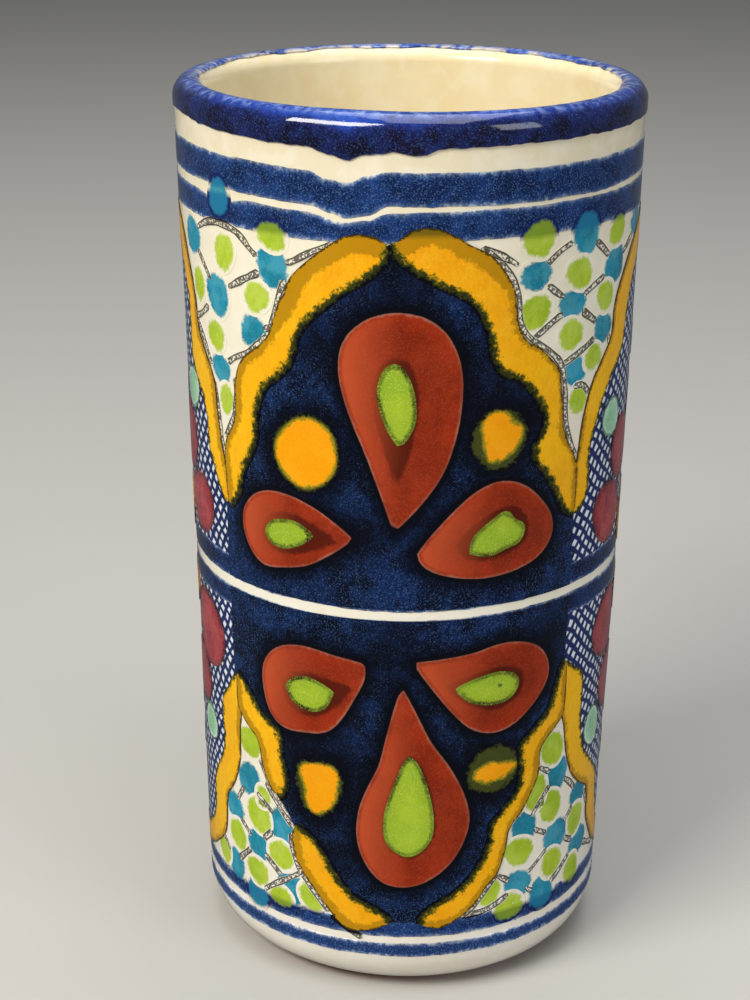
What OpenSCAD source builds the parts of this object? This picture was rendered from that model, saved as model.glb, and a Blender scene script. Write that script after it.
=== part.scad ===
// A hand-painted tin-glazed pottery vase, as the layers it is made of: the clay wall and
// floor, the two coats of glaze, and every field, band, border and motif of enamel laid on
// the outside.  The origin is the middle of the foot, +Z is up and -Y is the front.
// A place on the side is [u, z]: u runs round the pot in millimetres at the middle radius,
// to the right of the front, and z is the height on a pot 150 mm tall.

/* [Pot] */
// Height from the table to the top of the lip
height = 150; // [146:1:154]
// Outer radius of the straight side, carried down to the table
foot_r = 34.8; // [34:0.1:35.4]
// Outer radius of the straight side, carried up to the top
mouth_r = 38.4; // [37.8:0.1:39]
// Radius of the half-round lip, which is half the wall
lip_r = 2.9; // [2.6:0.1:3.2]
// Radius of the rounded heel
heel_r = 9; // [8:0.5:10]
// Top of the clay floor above the table
floor_h = 7; // [6:0.5:8]
// Radius of the floor disc that is luted into the foot
disc_r = 21; // [19:0.5:22]
// Hollow under the floor disc
recess_h = 1.2; // [0.8:0.1:2]

/* [Glaze and enamel] */
// Thickness of the tin-white jacket and of the cream lining
glaze_t = 0.4; // [0.3:0.05:0.5]
// Thickness of the painted enamel
enamel_t = 0.3; // [0.2:0.05:0.4]
// Bare line between two fields that lie side by side
gap = 0.4; // [0.3:0.1:0.6]

/* [Bands, as heights on a 150 mm pot] */
// Lower edge of the cobalt rim
rim_z = 146; // [144:0.5:147]
// Wide cobalt band below the rim
wide_band = [136.8, 142]; // [134:0.1:143]
// Narrow cobalt band over the upper panels
narrow_band = [131, 135.2]; // [130:0.1:136]
// Upper strip at the waist
waist_upper = [71.6, 75.5]; // [71:0.1:77]
// Lower strip at the waist
waist_lower = [66.5, 70]; // [66:0.1:70.5]
// Cobalt band under the lower panels
low_band = [12.2, 15.3]; // [11:0.1:16]
// Blue band at the foot, just over the heel
foot_line = [9.4, 10.6]; // [9.2:0.1:11]

/* [Lattice] */
// Radius of a lime or a turquoise dot
dot_r = 2.3; // [2:0.1:2.5]
// Step between dots round the pot
dot_step_u = 8.6; // [8:0.1:9]
// Step between rows of dots
dot_step_z = 5.5; // [5:0.1:5.6]
// Width of a lattice line
line_w = 0.8; // [0.5:0.1:1.2]

/* [Hidden] */
$fn = 96;

drawn_height = 150;
mid_r = (foot_r + mouth_r) / 2;
half_turn = PI * mid_r;
skin_t = glaze_t + enamel_t;
fillet_r = 5;

// Places round the pot: the front panel's middle, the side panels and the four lattices
front_u = -1.5;
back_u = front_u + half_turn;
right_u = front_u + half_turn / 2;
left_u = front_u - half_turn / 2;
panel_half = 31.5;
net_half = half_turn / 2 - panel_half;

// The upper panels stand on the waist, and the lower ones hang from it, a little shorter
upper_zone = [waist_upper[1], narrow_band[0]];
lower_zone = [low_band[1], waist_lower[0]];
squeeze = (lower_zone[1] - lower_zone[0]) / (upper_zone[1] - upper_zone[0]);

// Edges of a lattice field with its border, from the top down to the point and up again,
// with the cobalt panel on the left and the net panel on the right
outer_left = [
    [-31, 129], [-27, 126.5], [-20, 122.5], [-17.5, 117], [-16, 111.5],
    [-10, 108], [-6.5, 103], [-6.5, 98], [-3, 89.5], [0, 85],
];
outer_right = [
    [0, 85], [3.5, 90], [4.5, 98], [9, 106], [13, 110.5],
    [14, 116], [18, 121.5], [22, 124.5], [25.5, 127],
];
inner_left = [
    [-22, 131], [-17, 129], [-14, 124], [-13, 118], [-9, 114.5],
    [-5, 110], [-3.5, 104], [-2, 97], [0, 93],
];
inner_right = [
    [0, 93], [1.5, 98], [2.5, 104], [6, 108.5], [8.5, 112.5],
    [9, 117], [12, 122.5], [16, 127], [20, 131],
];

// Motifs on a cobalt panel as [tip, round end, width], from the panel's middle
upper_drop = [[-0.5, 85], [0.5, 120], 19];
upper_drop_heart = [[0.5, 99.5], [-0.5, 112], 5];
upper_petals = [[[-7, 83.5], [-27, 82.5], 13], [[3.5, 81], [26.5, 85.5], 14]];
upper_petal_hearts = [[[-14, 83.5], [-22, 82.5], 4.5], [[12, 82.5], [21, 85], 6]];
lower_drop = [[1, 58.5], [3, 21.5], 18];
lower_drop_heart = [[2.5, 45.5], [2.5, 28], 7.5];
lower_petals = [[[-5.5, 62], [-24, 55.5], 15], [[3, 63], [27.5, 57], 14.5]];
lower_petal_hearts = [[[-10.5, 56], [-18.5, 55], 5], [[10.5, 57.5], [21, 57], 5]];
// Yellow spots as [place, radius]
upper_spots = [[[-14.5, 97], 5.2], [[16.5, 100], 3.8]];
lower_spots = [[[-13, 38.5], 4], [[17, 42], 4]];

// The half-flower on a net panel
petal_angles = [22, 56, 90, 124, 158];
petal_ring_r = 16.5;
petal_len = 12.5;
petal_w = 9;
centre_r = 8.5;
mint_at = [15, 99];
mint_r = 3;

// Dots of one lattice as [column, row]
lime_places = [[-1, 0], [1, 0], [0, 1], [-1, 2], [1, 2], [0, 3], [0, 5]];
turquoise_places = [[0, 0], [-1, 1], [1, 1], [0, 2], [0, 4]];
line_places = [
    [[0, 0], [-1, 1]], [[0, 0], [1, 1]], [[-1, 1], [0, 2]], [[1, 1], [0, 2]],
];
first_row_z = 128.2;

// ---- places and outlines ----

function degrees_of(u) = u / mid_r * 180 / PI;
function lift(z) = z * height / drawn_height;
function side_r(z) = foot_r + (mouth_r - foot_r) * z / height;
function below_waist(p) = [p[0], lower_zone[1] - (p[1] - upper_zone[0]) * squeeze];
function in_zone(points, upper) = upper ? points : [for (p = points) below_waist(p)];
function mirrored(points) = [for (p = points) [-p[0], p[1]]];
function moved(points, u) = [for (p = points) [p[0] + u, p[1]]];
function reversed(points) = [for (i = [len(points) - 1:-1:0]) points[i]];

// Where a place on the side shows from straight in front of it
function seen(p) = [side_r(lift(p[1])) * sin(degrees_of(p[0])), lift(p[1])];
function all_seen(points) = [for (p = points) seen(p)];

// A smooth curve through the given points
function curve_at(a, b, c, d, t) =
    ((2 * b) + (c - a) * t + (2 * a - 5 * b + 4 * c - d) * t * t
        + (3 * b - a - 3 * c + d) * t * t * t) / 2;
function smooth(p, steps = 3) = concat(
    [for (i = [0:len(p) - 2], s = [0:steps - 1])
        curve_at(p[max(i - 1, 0)], p[i], p[i + 1], p[min(i + 2, len(p) - 1)], s / steps)],
    [p[len(p) - 1]]);

// A drop from its tip to its round end, and an oval along a direction
function along(a, b, t, side) =
    let (v = b - a) a + v * t + [-v[1], v[0]] / norm(v) * side;
function drop(d) = [for (t = [0:15:345])
    along(d[0], d[1], (1 - cos(t)) / 2, d[2] / 2 * sin(t) * sin(t / 2) / 0.77)];
function oval(c, len, w, angle) = [for (t = [0:15:345])
    c + len / 2 * cos(t) * [cos(angle), sin(angle)] + w / 2 * sin(t) * [-sin(angle), cos(angle)]];

function field_outer(upper) = in_zone(
    concat([[-31, 131]], smooth(outer_left), smooth(outer_right), [[25.5, 131]]), upper);
function field_inner(upper) = in_zone(concat(smooth(inner_left), smooth(inner_right)), upper);
function panel_edge(points, half) = concat([[half, upper_zone[0]]], points);
function closed_panel(edge, upper) = in_zone(concat(edge, reversed(mirrored(edge))), upper);
function ground_outline(upper) = closed_panel(
    panel_edge(moved(concat(reversed(smooth(outer_left)), [[-31, 131]]), panel_half - gap),
        panel_half - gap), upper);
function net_outline(upper) = closed_panel(
    panel_edge(moved(mirrored(smooth(outer_right)), net_half - gap), net_half - gap), upper);

function flower_petal(angle) = oval(
    [petal_ring_r * cos(angle), upper_zone[0] + petal_ring_r * sin(angle)],
    petal_len, petal_w, angle);
function lattice_at(p) = [p[0] * dot_step_u, first_row_z - p[1] * dot_step_z];

// ---- the pot's profile, at a distance d outside its finished surface ----

heel_c = [side_r(heel_r) - heel_r, heel_r];
lip_c = [side_r(height - lip_r) - lip_r, height - lip_r];
fillet_c = [side_r(floor_h) - 2 * lip_r - fillet_r, floor_h + skin_t + fillet_r];
function arc(c, r, from, to) = [for (i = [0:12])
    let (a = from + (to - from) * i / 12) c + r * [cos(a), sin(a)]];
function heel(d, from) = arc(heel_c, heel_r + d, from, 0);
function lip(d, from, to) = arc(lip_c, lip_r + d, from, to);
function inside_foot(d) = arc(fillet_c, fillet_r - d, 0, -90);

module skin_ring(d1, d2, z1, z2) {
    rotate_extrude() polygon([
        [side_r(z1) + d1, z1], [side_r(z1) + d2, z1], [side_r(z2) + d2, z2], [side_r(z2) + d1, z2],
    ]);
}

module enamel_band(range) {
    skin_ring(-enamel_t, 0, lift(range[0]), lift(range[1]));
}

// Enamel in the shape of a flat outline, laid on the side at u
module enamel(u, zone) {
    intersection() {
        enamel_band(zone);
        rotate([0, 0, degrees_of(u)]) rotate([90, 0, 0]) linear_extrude(height = 2 * mouth_r) children();
    }
}

function zone_of(upper) = upper ? upper_zone : lower_zone;

// ---- clay and glaze ----

module clay_wall() {
    heel_from = -70;
    skin = heel(-skin_t, heel_from);
    color("peru") rotate_extrude() polygon(concat(
        [[disc_r, 0], [skin[0][0] - 0.6, 0]],
        skin, lip(-skin_t, 0, 180), inside_foot(-skin_t), [[disc_r, floor_h]]));
}

module clay_floor() {
    color("sandybrown") translate([0, 0, recess_h]) cylinder(r = disc_r, h = floor_h - recess_h);
}

module lining_glaze() {
    color("ivory") rotate_extrude() polygon(concat(
        lip(-enamel_t, 90, 180), inside_foot(-enamel_t), [[0, floor_h + glaze_t], [0, floor_h]],
        reversed(inside_foot(-skin_t)), reversed(lip(-skin_t, 90, 180))));
}

module jacket_glaze() {
    glazed_from = -58;
    color("beige") rotate_extrude() polygon(concat(
        heel(-enamel_t, glazed_from), lip(-enamel_t, 0, 90),
        reversed(lip(-skin_t, 0, 90)), reversed(heel(-skin_t, glazed_from))));
}

module rim_enamel() {
    laps_in_to = 150;
    z = lift(rim_z);
    color("midnightblue") rotate_extrude() polygon(concat(
        [[side_r(z), z]], lip(0, 0, laps_in_to),
        reversed(lip(-enamel_t, 0, laps_in_to)), [[side_r(z) - enamel_t, z]]));
}

// ---- bands ----

module wide_upper_band() { color("midnightblue") enamel_band(wide_band); }
module narrow_upper_band() { color("midnightblue") enamel_band(narrow_band); }
module waist_upper_band() { color("midnightblue") enamel_band(waist_upper); }
module waist_lower_band() { color("midnightblue") enamel_band(waist_lower); }
module lower_band() { color("midnightblue") enamel_band(low_band); }
module foot_band() { color("royalblue") enamel_band(foot_line); }

// ---- cobalt panels ----

module outlines(shapes) {
    for (s = shapes) polygon(all_seen(s));
}

// Round spots, each [place, radius]
module spots_at(spots) {
    for (s = spots) translate(seen(s[0])) circle(r = s[1]);
}

// The dark ground, with a window for each motif
module ground(u, upper, drop_shape, petals, spots) {
    color("midnightblue") enamel(u, zone_of(upper)) difference() {
        polygon(all_seen(ground_outline(upper)));
        outlines(concat([drop(drop_shape)], [for (p = petals) drop(p)]));
        spots_at(spots);
    }
}

// A red shape with a window for its green heart
module red_shape(u, upper, shape, heart) {
    color("firebrick") enamel(u, zone_of(upper)) difference() {
        polygon(all_seen(drop(shape)));
        polygon(all_seen(drop(heart)));
    }
}

module red_petals(u, upper, petals, hearts) {
    for (i = [0:1]) red_shape(u, upper, petals[i], hearts[i]);
}

module green_hearts(u, upper, hearts) {
    color("yellowgreen") enamel(u, zone_of(upper)) outlines([for (h = hearts) drop(h)]);
}

module yellow_spots(upper, spots) {
    for (u = [front_u, back_u])
        color("goldenrod") enamel(u, zone_of(upper)) spots_at(spots);
}

module upper_ground(u) { ground(u, true, upper_drop, upper_petals, upper_spots); }
module lower_ground(u) { ground(u, false, lower_drop, lower_petals, lower_spots); }
module front_upper_ground() { upper_ground(front_u); }
module front_lower_ground() { lower_ground(front_u); }
module back_upper_ground() { upper_ground(back_u); }
module back_lower_ground() { lower_ground(back_u); }

module front_upper_teardrop() { red_shape(front_u, true, upper_drop, upper_drop_heart); }
module front_lower_teardrop() { red_shape(front_u, false, lower_drop, lower_drop_heart); }
module back_upper_teardrop() { red_shape(back_u, true, upper_drop, upper_drop_heart); }
module back_lower_teardrop() { red_shape(back_u, false, lower_drop, lower_drop_heart); }

module front_upper_petals() { red_petals(front_u, true, upper_petals, upper_petal_hearts); }
module front_lower_petals() { red_petals(front_u, false, lower_petals, lower_petal_hearts); }
module back_upper_petals() { red_petals(back_u, true, upper_petals, upper_petal_hearts); }
module back_lower_petals() { red_petals(back_u, false, lower_petals, lower_petal_hearts); }

upper_hearts = concat([upper_drop_heart], upper_petal_hearts);
lower_hearts = concat([lower_drop_heart], lower_petal_hearts);
module front_upper_hearts() { green_hearts(front_u, true, upper_hearts); }
module front_lower_hearts() { green_hearts(front_u, false, lower_hearts); }
module back_upper_hearts() { green_hearts(back_u, true, upper_hearts); }
module back_lower_hearts() { green_hearts(back_u, false, lower_hearts); }

module upper_yellow_spots() { yellow_spots(true, upper_spots); }
module lower_yellow_spots() { yellow_spots(false, lower_spots); }

// ---- net panels and their half-flowers ----

module flower_outlines(upper) {
    outlines([for (a = petal_angles) in_zone(flower_petal(a), upper)]);
}

module centre_outline(upper) {
    spots_at([[in_zone([[0, upper_zone[0]]], upper)[0], centre_r]]);
}

module mint_outlines(upper) {
    for (p = in_zone([mint_at, mirrored([mint_at])[0]], upper)) spots_at([[p, mint_r]]);
}

module net(u, upper) {
    color("slategray") enamel(u, zone_of(upper)) difference() {
        polygon(all_seen(net_outline(upper)));
        flower_outlines(upper);
        centre_outline(upper);
        mint_outlines(upper);
    }
}

module flower_petals(u) {
    for (upper = [true, false]) color("indianred") enamel(u, zone_of(upper)) flower_outlines(upper);
}

module right_upper_net() { net(right_u, true); }
module right_lower_net() { net(right_u, false); }
module left_upper_net() { net(left_u, true); }
module left_lower_net() { net(left_u, false); }
module right_flower_petals() { flower_petals(right_u); }
module left_flower_petals() { flower_petals(left_u); }

module flower_centres() {
    for (u = [right_u, left_u], upper = [true, false])
        color("orange") enamel(u, zone_of(upper)) centre_outline(upper);
}

module mint_dots() {
    for (u = [right_u, left_u], upper = [true, false])
        color("darkseagreen") enamel(u, zone_of(upper)) mint_outlines(upper);
}

// ---- lattice fields and their yellow borders ----

// side is 1 where the cobalt panel lies to the left of the field, and -1 where to the right
module border(u, side, upper) {
    color("gold") enamel(u, zone_of(upper)) mirror([side < 0 ? 1 : 0, 0]) difference() {
        polygon(all_seen(field_outer(upper)));
        polygon(all_seen(field_inner(upper)));
    }
}

front_right_u = front_u + panel_half;
front_left_u = front_u - panel_half;
back_right_u = back_u - panel_half;
back_left_u = back_u + panel_half;
module front_right_upper_border() { border(front_right_u, 1, true); }
module front_left_upper_border() { border(front_left_u, -1, true); }
module back_right_upper_border() { border(back_right_u, -1, true); }
module back_left_upper_border() { border(back_left_u, 1, true); }
module front_right_lower_border() { border(front_right_u, 1, false); }
module front_left_lower_border() { border(front_left_u, -1, false); }
module back_right_lower_border() { border(back_right_u, -1, false); }
module back_left_lower_border() { border(back_left_u, 1, false); }

module on_every_lattice(tint) {
    for (u = [front_right_u, front_left_u, back_right_u, back_left_u], upper = [true, false])
        color(tint) enamel(u, zone_of(upper)) {
            $upper = upper;
            children();
        }
}

module lattice_dots(places) {
    spots_at([for (p = in_zone([for (q = places) lattice_at(q)], $upper)) [p, dot_r]]);
}

module lattice_line(a, b) {
    start = (dot_r + gap) / norm(b - a);
    outlines([in_zone([
        along(a, b, start, -line_w / 2), along(a, b, start, line_w / 2),
        along(a, b, 1 - start, line_w / 2), along(a, b, 1 - start, -line_w / 2),
    ], $upper)]);
}

module lime_dots() { on_every_lattice("yellowgreen") lattice_dots(lime_places); }
module turquoise_dots() { on_every_lattice("darkturquoise") lattice_dots(turquoise_places); }
module lattice_lines() {
    on_every_lattice("dimgray") for (l = line_places) lattice_line(lattice_at(l[0]), lattice_at(l[1]));
}

clay_wall();
clay_floor();
lining_glaze();
jacket_glaze();
rim_enamel();
wide_upper_band();
narrow_upper_band();
waist_upper_band();
waist_lower_band();
lower_band();
foot_band();
front_upper_ground();
front_lower_ground();
back_upper_ground();
back_lower_ground();
front_upper_teardrop();
front_lower_teardrop();
back_upper_teardrop();
back_lower_teardrop();
front_upper_petals();
front_lower_petals();
back_upper_petals();
back_lower_petals();
front_upper_hearts();
front_lower_hearts();
back_upper_hearts();
back_lower_hearts();
upper_yellow_spots();
lower_yellow_spots();
right_upper_net();
right_lower_net();
left_upper_net();
left_lower_net();
right_flower_petals();
left_flower_petals();
flower_centres();
mint_dots();
front_right_upper_border();
front_left_upper_border();
back_right_upper_border();
back_left_upper_border();
front_right_lower_border();
front_left_lower_border();
back_right_lower_border();
back_left_lower_border();
lime_dots();
turquoise_dots();
lattice_lines();
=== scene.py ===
import math

import bmesh
import bpy
import numpy as np
from mathutils import Matrix, Vector, noise


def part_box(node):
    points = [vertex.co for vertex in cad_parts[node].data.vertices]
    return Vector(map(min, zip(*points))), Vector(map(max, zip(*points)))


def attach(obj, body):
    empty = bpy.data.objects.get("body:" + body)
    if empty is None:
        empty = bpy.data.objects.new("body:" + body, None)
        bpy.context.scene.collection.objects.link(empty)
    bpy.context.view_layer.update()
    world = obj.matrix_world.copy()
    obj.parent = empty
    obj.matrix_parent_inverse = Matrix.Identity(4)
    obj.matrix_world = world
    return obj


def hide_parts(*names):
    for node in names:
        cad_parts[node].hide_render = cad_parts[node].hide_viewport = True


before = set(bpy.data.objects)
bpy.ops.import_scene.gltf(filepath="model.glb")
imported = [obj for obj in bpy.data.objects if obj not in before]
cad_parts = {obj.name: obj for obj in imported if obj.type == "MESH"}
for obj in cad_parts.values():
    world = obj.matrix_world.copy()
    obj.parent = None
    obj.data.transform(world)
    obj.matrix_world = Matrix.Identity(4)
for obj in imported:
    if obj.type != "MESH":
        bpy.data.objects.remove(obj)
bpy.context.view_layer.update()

# A hand-painted tin-glazed vase: the clay, the two glazes, and every field, band, border and
# motif of enamel as a raised coat of its own.
# A place on the pot is (u, s, h) in millimetres.  u runs round the side from the middle of the
# front, to the right.  s runs up the outside from the table, over the lip and down the inside.
# h stands out from the finished surface.

MM = 0.001


def top_edge(node):
    """Height and radius of a round node's upper edge, in millimetres."""
    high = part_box(node)[1]
    return high.z / MM, high.x / MM


LOW_Z, LOW_R = top_edge("lower_band")
HIGH_Z, HIGH_R = top_edge("wide_upper_band")
TAPER = (HIGH_R - LOW_R) / (HIGH_Z - LOW_Z)
FOOT_R = LOW_R - TAPER * LOW_Z
HEIGHT = top_edge("rim_enamel")[0]
FLOOR_TOP, FLOOR_R = top_edge("clay_floor")
FLOOR_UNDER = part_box("clay_floor")[0].z / MM
MID_R = FOOT_R + TAPER * HEIGHT / 2
HALF_TURN = math.pi * MID_R
LIP_R = 2.9
HEEL_R = 9.0
LIP_S = HEIGHT - LIP_R
CREST_S = LIP_S + LIP_R * math.pi / 2
INSIDE_S = LIP_S + math.pi * LIP_R

# Depths of the layers under the finished surface
ENAMEL_T = 0.3
CLAY_H = -0.7
UNDER_ENAMEL = -0.42
BAND_RISE = -0.2
BAND_LEDGE = -0.28
RIM_RISE = -0.03
# How high the top of each coat stands, and its outline: a later coat laps over an earlier one
LIE = {
    "turquoise": (-0.265, -0.28), "lime": (-0.253, -0.268), "line": (-0.235, -0.245),
    "net": (-0.21, -0.28), "panel": (-0.18, -0.25), "petal": (-0.12, -0.19),
    "next_petal": (-0.10, -0.19), "mint": (-0.11, -0.19), "red": (-0.12, -0.17),
    "spot": (-0.12, -0.17), "net_border": (-0.11, -0.168), "panel_border": (-0.09, -0.168),
    "heart": (-0.07, -0.11), "speck": (-0.05, -0.06), "centre": (-0.05, -0.09)}


# ---- the pot's surface ----

def side_r(z):
    return FOOT_R + TAPER * z


def sway(u, z):
    """How far the hand-made wall strays from a true cone."""
    a = u / MID_R
    waves = 0.14 * math.sin(2 * a + 0.6) + 0.10 * math.sin(3 * a + 0.04 * z)
    throwing = 0.05 * math.sin(0.11 * z + a)
    dent = 0.5 * math.exp(-((u + 9) / 7) ** 2) * min(1, max(0, (z - 118) / 30))
    return waves + throwing - dent


def on_pot(u, s, h):
    """The point, in metres, at a place on the pot."""
    if s < HEEL_R:
        a = (s - HEEL_R) / HEEL_R
        r = side_r(HEEL_R) - HEEL_R + (HEEL_R + h) * math.cos(a)
        z = HEEL_R + (HEEL_R + h) * math.sin(a)
    elif s < LIP_S:
        r, z = side_r(s) + h, s
    elif s < INSIDE_S:
        a = (s - LIP_S) / LIP_R
        r = side_r(LIP_S) - LIP_R + (LIP_R + h) * math.cos(a)
        z = LIP_S + (LIP_R + h) * math.sin(a)
    else:
        z = LIP_S - (s - INSIDE_S)
        r = side_r(z) - 2 * LIP_R - h
    r += sway(u, z)
    a = u / MID_R
    return Vector((r * math.sin(a), -r * math.cos(a), z)) * MM


def wander(u, s, size, seed=0.0):
    """A soft random number from -1 to 1 that changes over size millimetres round the pot."""
    a = u / MID_R
    p = Vector((math.sin(a) * MID_R / size, math.cos(a) * MID_R / size, s / size + seed))
    return noise.noise(p)


# ---- flat outlines, in (u, s) ----

def smooth(points, steps=4, closed=False):
    """A Catmull-Rom curve through the points, whatever each one holds."""
    p = np.array(points, float)
    last = len(p) - 1
    out = []
    for i in range(len(p) if closed else last):
        if closed:
            a, b, c, d = p[i - 1], p[i], p[(i + 1) % len(p)], p[(i + 2) % len(p)]
        else:
            a, b, c, d = p[max(i - 1, 0)], p[i], p[i + 1], p[min(i + 2, last)]
        for k in range(steps):
            t = k / steps
            curve = 2 * b + (c - a) * t + (2 * a - 5 * b + 4 * c - d) * t ** 2
            out.append((curve + (3 * b - a - 3 * c + d) * t ** 3) / 2)
    if not closed:
        out.append(p[last])
    return np.array(out)


def pointed(points):
    """A closed outline with its first point left sharp."""
    return smooth(list(points) + [points[0]])[:-1]


OVAL_CORNERS = 22
UNEVEN = 0.05


def oval(u, s, wide, high, tilt=0):
    """A brushed oval that no two times comes out quite the same."""
    t = math.radians(tilt)
    out = []
    for k in range(OVAL_CORNERS):
        a = 2 * math.pi * k / OVAL_CORNERS
        r = 1 + UNEVEN * (math.sin(2 * a + u) + 0.7 * math.sin(3 * a + s))
        x, y = wide / 2 * r * math.cos(a), high / 2 * r * math.sin(a)
        out.append((u + x * math.cos(t) - y * math.sin(t), s + x * math.sin(t) + y * math.cos(t)))
    return np.array(out)


def grown(outline, by):
    """An outline pushed outwards by so many millimetres."""
    p = np.array(outline, float)
    ahead = np.roll(p, -1, 0) - np.roll(p, 1, 0)
    normal = np.stack([ahead[:, 1], -ahead[:, 0]], 1)
    normal /= np.linalg.norm(normal, axis=1)[:, None] + 1e-9
    area = np.sum(p[:, 0] * np.roll(p[:, 1], -1) - p[:, 1] * np.roll(p[:, 0], -1))
    return p + normal * by * np.sign(area)


WOBBLE = 0.5


def brush_line(points):
    """Centre line of a brush stroke as (u, s, width), with an uneven hand."""
    line = smooth(points)
    for k, (u, s, width) in enumerate(line):
        line[k, 2] = width * (1 + WOBBLE * wander(u, s, 3.0, 5.0))
    return line


def stroke_outline(line):
    """The outline of a stroke along its centre line, with round ends."""
    ahead = np.gradient(line[:, :2], axis=0)
    ahead /= np.linalg.norm(ahead, axis=1)[:, None] + 1e-9
    left = np.stack([-ahead[:, 1], ahead[:, 0]], 1) * line[:, 2:] / 2
    start = line[0, :2] - ahead[0] * line[0, 2] * 0.35
    end = line[-1, :2] + ahead[-1] * line[-1, 2] * 0.35
    one, other = line[:, :2] + left, line[::-1, :2] - left[::-1]
    return np.concatenate([one, [end], other, [start]])


def gaps_to(points, outline, closed=True):
    """Distance of each point from the nearest stretch of an outline."""
    a = np.asarray(outline, float)
    b = np.roll(a, -1, 0)
    if not closed:
        a, b = a[:-1], b[:-1]
    side = b - a
    p = np.asarray(points, float)[:, None, :]
    t = np.clip(((p - a) * side).sum(2) / ((side ** 2).sum(1) + 1e-9), 0, 1)
    return np.linalg.norm(p - (a + t[:, :, None] * side), axis=2)


def across_line(points, line):
    """How far each point lies to the left of a stroke's middle, where 1 is its edge."""
    mid = line[:, :2]
    nearest = gaps_to(points, mid, closed=False)
    k = nearest.argmin(1)
    ahead = mid[k + 1] - mid[k]
    off = np.asarray(points) - mid[k]
    left = np.sign(ahead[:, 0] * off[:, 1] - ahead[:, 1] * off[:, 0])
    return left * nearest.min(1) / (line[k, 2] / 2)


def gap_outside(points, outline):
    """Distance of each point from an outline, counted negative inside it."""
    a = np.asarray(outline, float)
    b = np.roll(a, -1, 0)
    p = np.asarray(points, float)[:, None, :]
    spans = (a[:, 1] > p[:, :, 1]) != (b[:, 1] > p[:, :, 1])
    rise = np.where(b[:, 1] == a[:, 1], 1e-9, b[:, 1] - a[:, 1])
    crossing = a[:, 0] + (p[:, :, 1] - a[:, 1]) * (b[:, 0] - a[:, 0]) / rise
    inside = (spans & (p[:, :, 0] < crossing)).sum(1) % 2 == 1
    return np.where(inside, -1, 1) * gaps_to(points, outline).min(1)


# ---- pieces ----

ROUND_OFF = 0.45
GRID = 1.6


def numbers(bm, name, values):
    """Stores a number on each corner point, for the materials to read."""
    layer = bm.verts.layers.float.get(name) or bm.verts.layers.float.new(name)
    for v, value in zip(bm.verts, values):
        v[layer] = value


def coat(outline, kind, round_off=ROUND_OFF, grid=GRID, lift=None, **marks):
    """A closed coat of enamel that lies as its kind does.  Its top slopes down to the outline.
    lift raises it where it laps over another coat.  marks are functions of the flat points,
    stored on the coat."""
    rise, ledge = LIE[kind]
    bm = bmesh.new()
    face = bm.faces.new([bm.verts.new((u, s, ledge)) for u, s in outline])
    bmesh.ops.inset_region(
        bm, faces=[face], thickness=round_off, use_boundary=True, use_even_offset=True)
    for v in face.verts:
        v.co.z = rise
    low, high = np.min(outline, 0), np.max(outline, 0)
    for axis, normal in enumerate((Vector((1, 0, 0)), Vector((0, 1, 0)))):
        for k in range(math.floor(low[axis] / grid) + 1, math.ceil(high[axis] / grid)):
            bmesh.ops.bisect_plane(
                bm, geom=bm.verts[:] + bm.edges[:] + bm.faces[:], dist=1e-4,
                plane_co=normal * k * grid, plane_no=normal)
    if lift:
        for v, up in zip(bm.verts, lift(np.array([v.co[:2] for v in bm.verts]))):
            v.co.z += up
    made = bmesh.ops.extrude_face_region(bm, geom=bm.faces[:])["geom"]
    for v in made:
        if isinstance(v, bmesh.types.BMVert):
            v.co.z = UNDER_ENAMEL
    flat = np.array([v.co[:2] for v in bm.verts])
    numbers(bm, "edge", gaps_to(flat, outline).min(1))
    for name, mark in marks.items():
        numbers(bm, name, mark(flat))
    place = bm.verts.layers.float_vector.new("place")
    for v in bm.verts:
        v[place] = v.co * MM
        v.co = on_pot(*v.co)
    bmesh.ops.recalc_face_normals(bm, faces=bm.faces)
    return bm


def joined(coats):
    """Several coats as one mesh of separate solids."""
    whole = bmesh.new()
    for bm in coats:
        part = bpy.data.meshes.new("part")
        bm.to_mesh(part)
        bm.free()
        whole.from_mesh(part)
        bpy.data.meshes.remove(part)
    return whole


SHARP_FROM = math.radians(38)


def finish_piece(bm, name, slot, nodes, material):
    """Makes the named piece, riding on the pot in place of its nodes."""
    mesh = bpy.data.meshes.new(name)
    bm.to_mesh(mesh)
    bm.free()
    mesh.polygons.foreach_set("use_smooth", [True] * len(mesh.polygons))
    mesh.set_sharp_from_angle(angle=SHARP_FROM)
    mesh.materials.append(material)
    piece = bpy.data.objects.new(name, mesh)
    bpy.context.scene.collection.objects.link(piece)
    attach(piece, "root")
    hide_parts(*nodes)


SPIN_R = 50.0
SPIN_STEPS = 288


def spun(profile, place):
    """A closed profile of (s, h) points, spun right round.  place(u, s, h) gives each one its
    point on the pot, its distance from the painted line and how far up the outside it is."""
    bm = bmesh.new()
    verts = [bm.verts.new((SPIN_R + h, 0, s)) for s, h in profile]
    edges = [bm.edges.new((a, b)) for a, b in zip(verts, verts[1:] + verts[:1])]
    bmesh.ops.spin(
        bm, geom=verts + edges, cent=(0, 0, 0), axis=(0, 0, 1), angle=2 * math.pi,
        steps=SPIN_STEPS, use_merge=True, use_duplicate=False)
    edge = bm.verts.layers.float.new("edge")
    run = bm.verts.layers.float.new("run")
    for v in bm.verts:
        u = math.atan2(v.co.x, -v.co.y) * MID_R
        h = math.hypot(v.co.x, v.co.y) - SPIN_R
        v.co, v[edge], v[run] = place(u, v.co.z, h)
    bmesh.ops.recalc_face_normals(bm, faces=bm.faces)
    return bm


def skin(from_s, to_s, top, under, rows):
    """The profile of a plain skin of glaze between two depths."""
    steps = [from_s + (to_s - from_s) * k / rows for k in range(rows + 1)]
    return [(s, top) for s in steps] + [(s, under) for s in reversed(steps)]


def plain_place(u, s, h):
    return on_pot(u, s, h), 1.0, s


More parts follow.
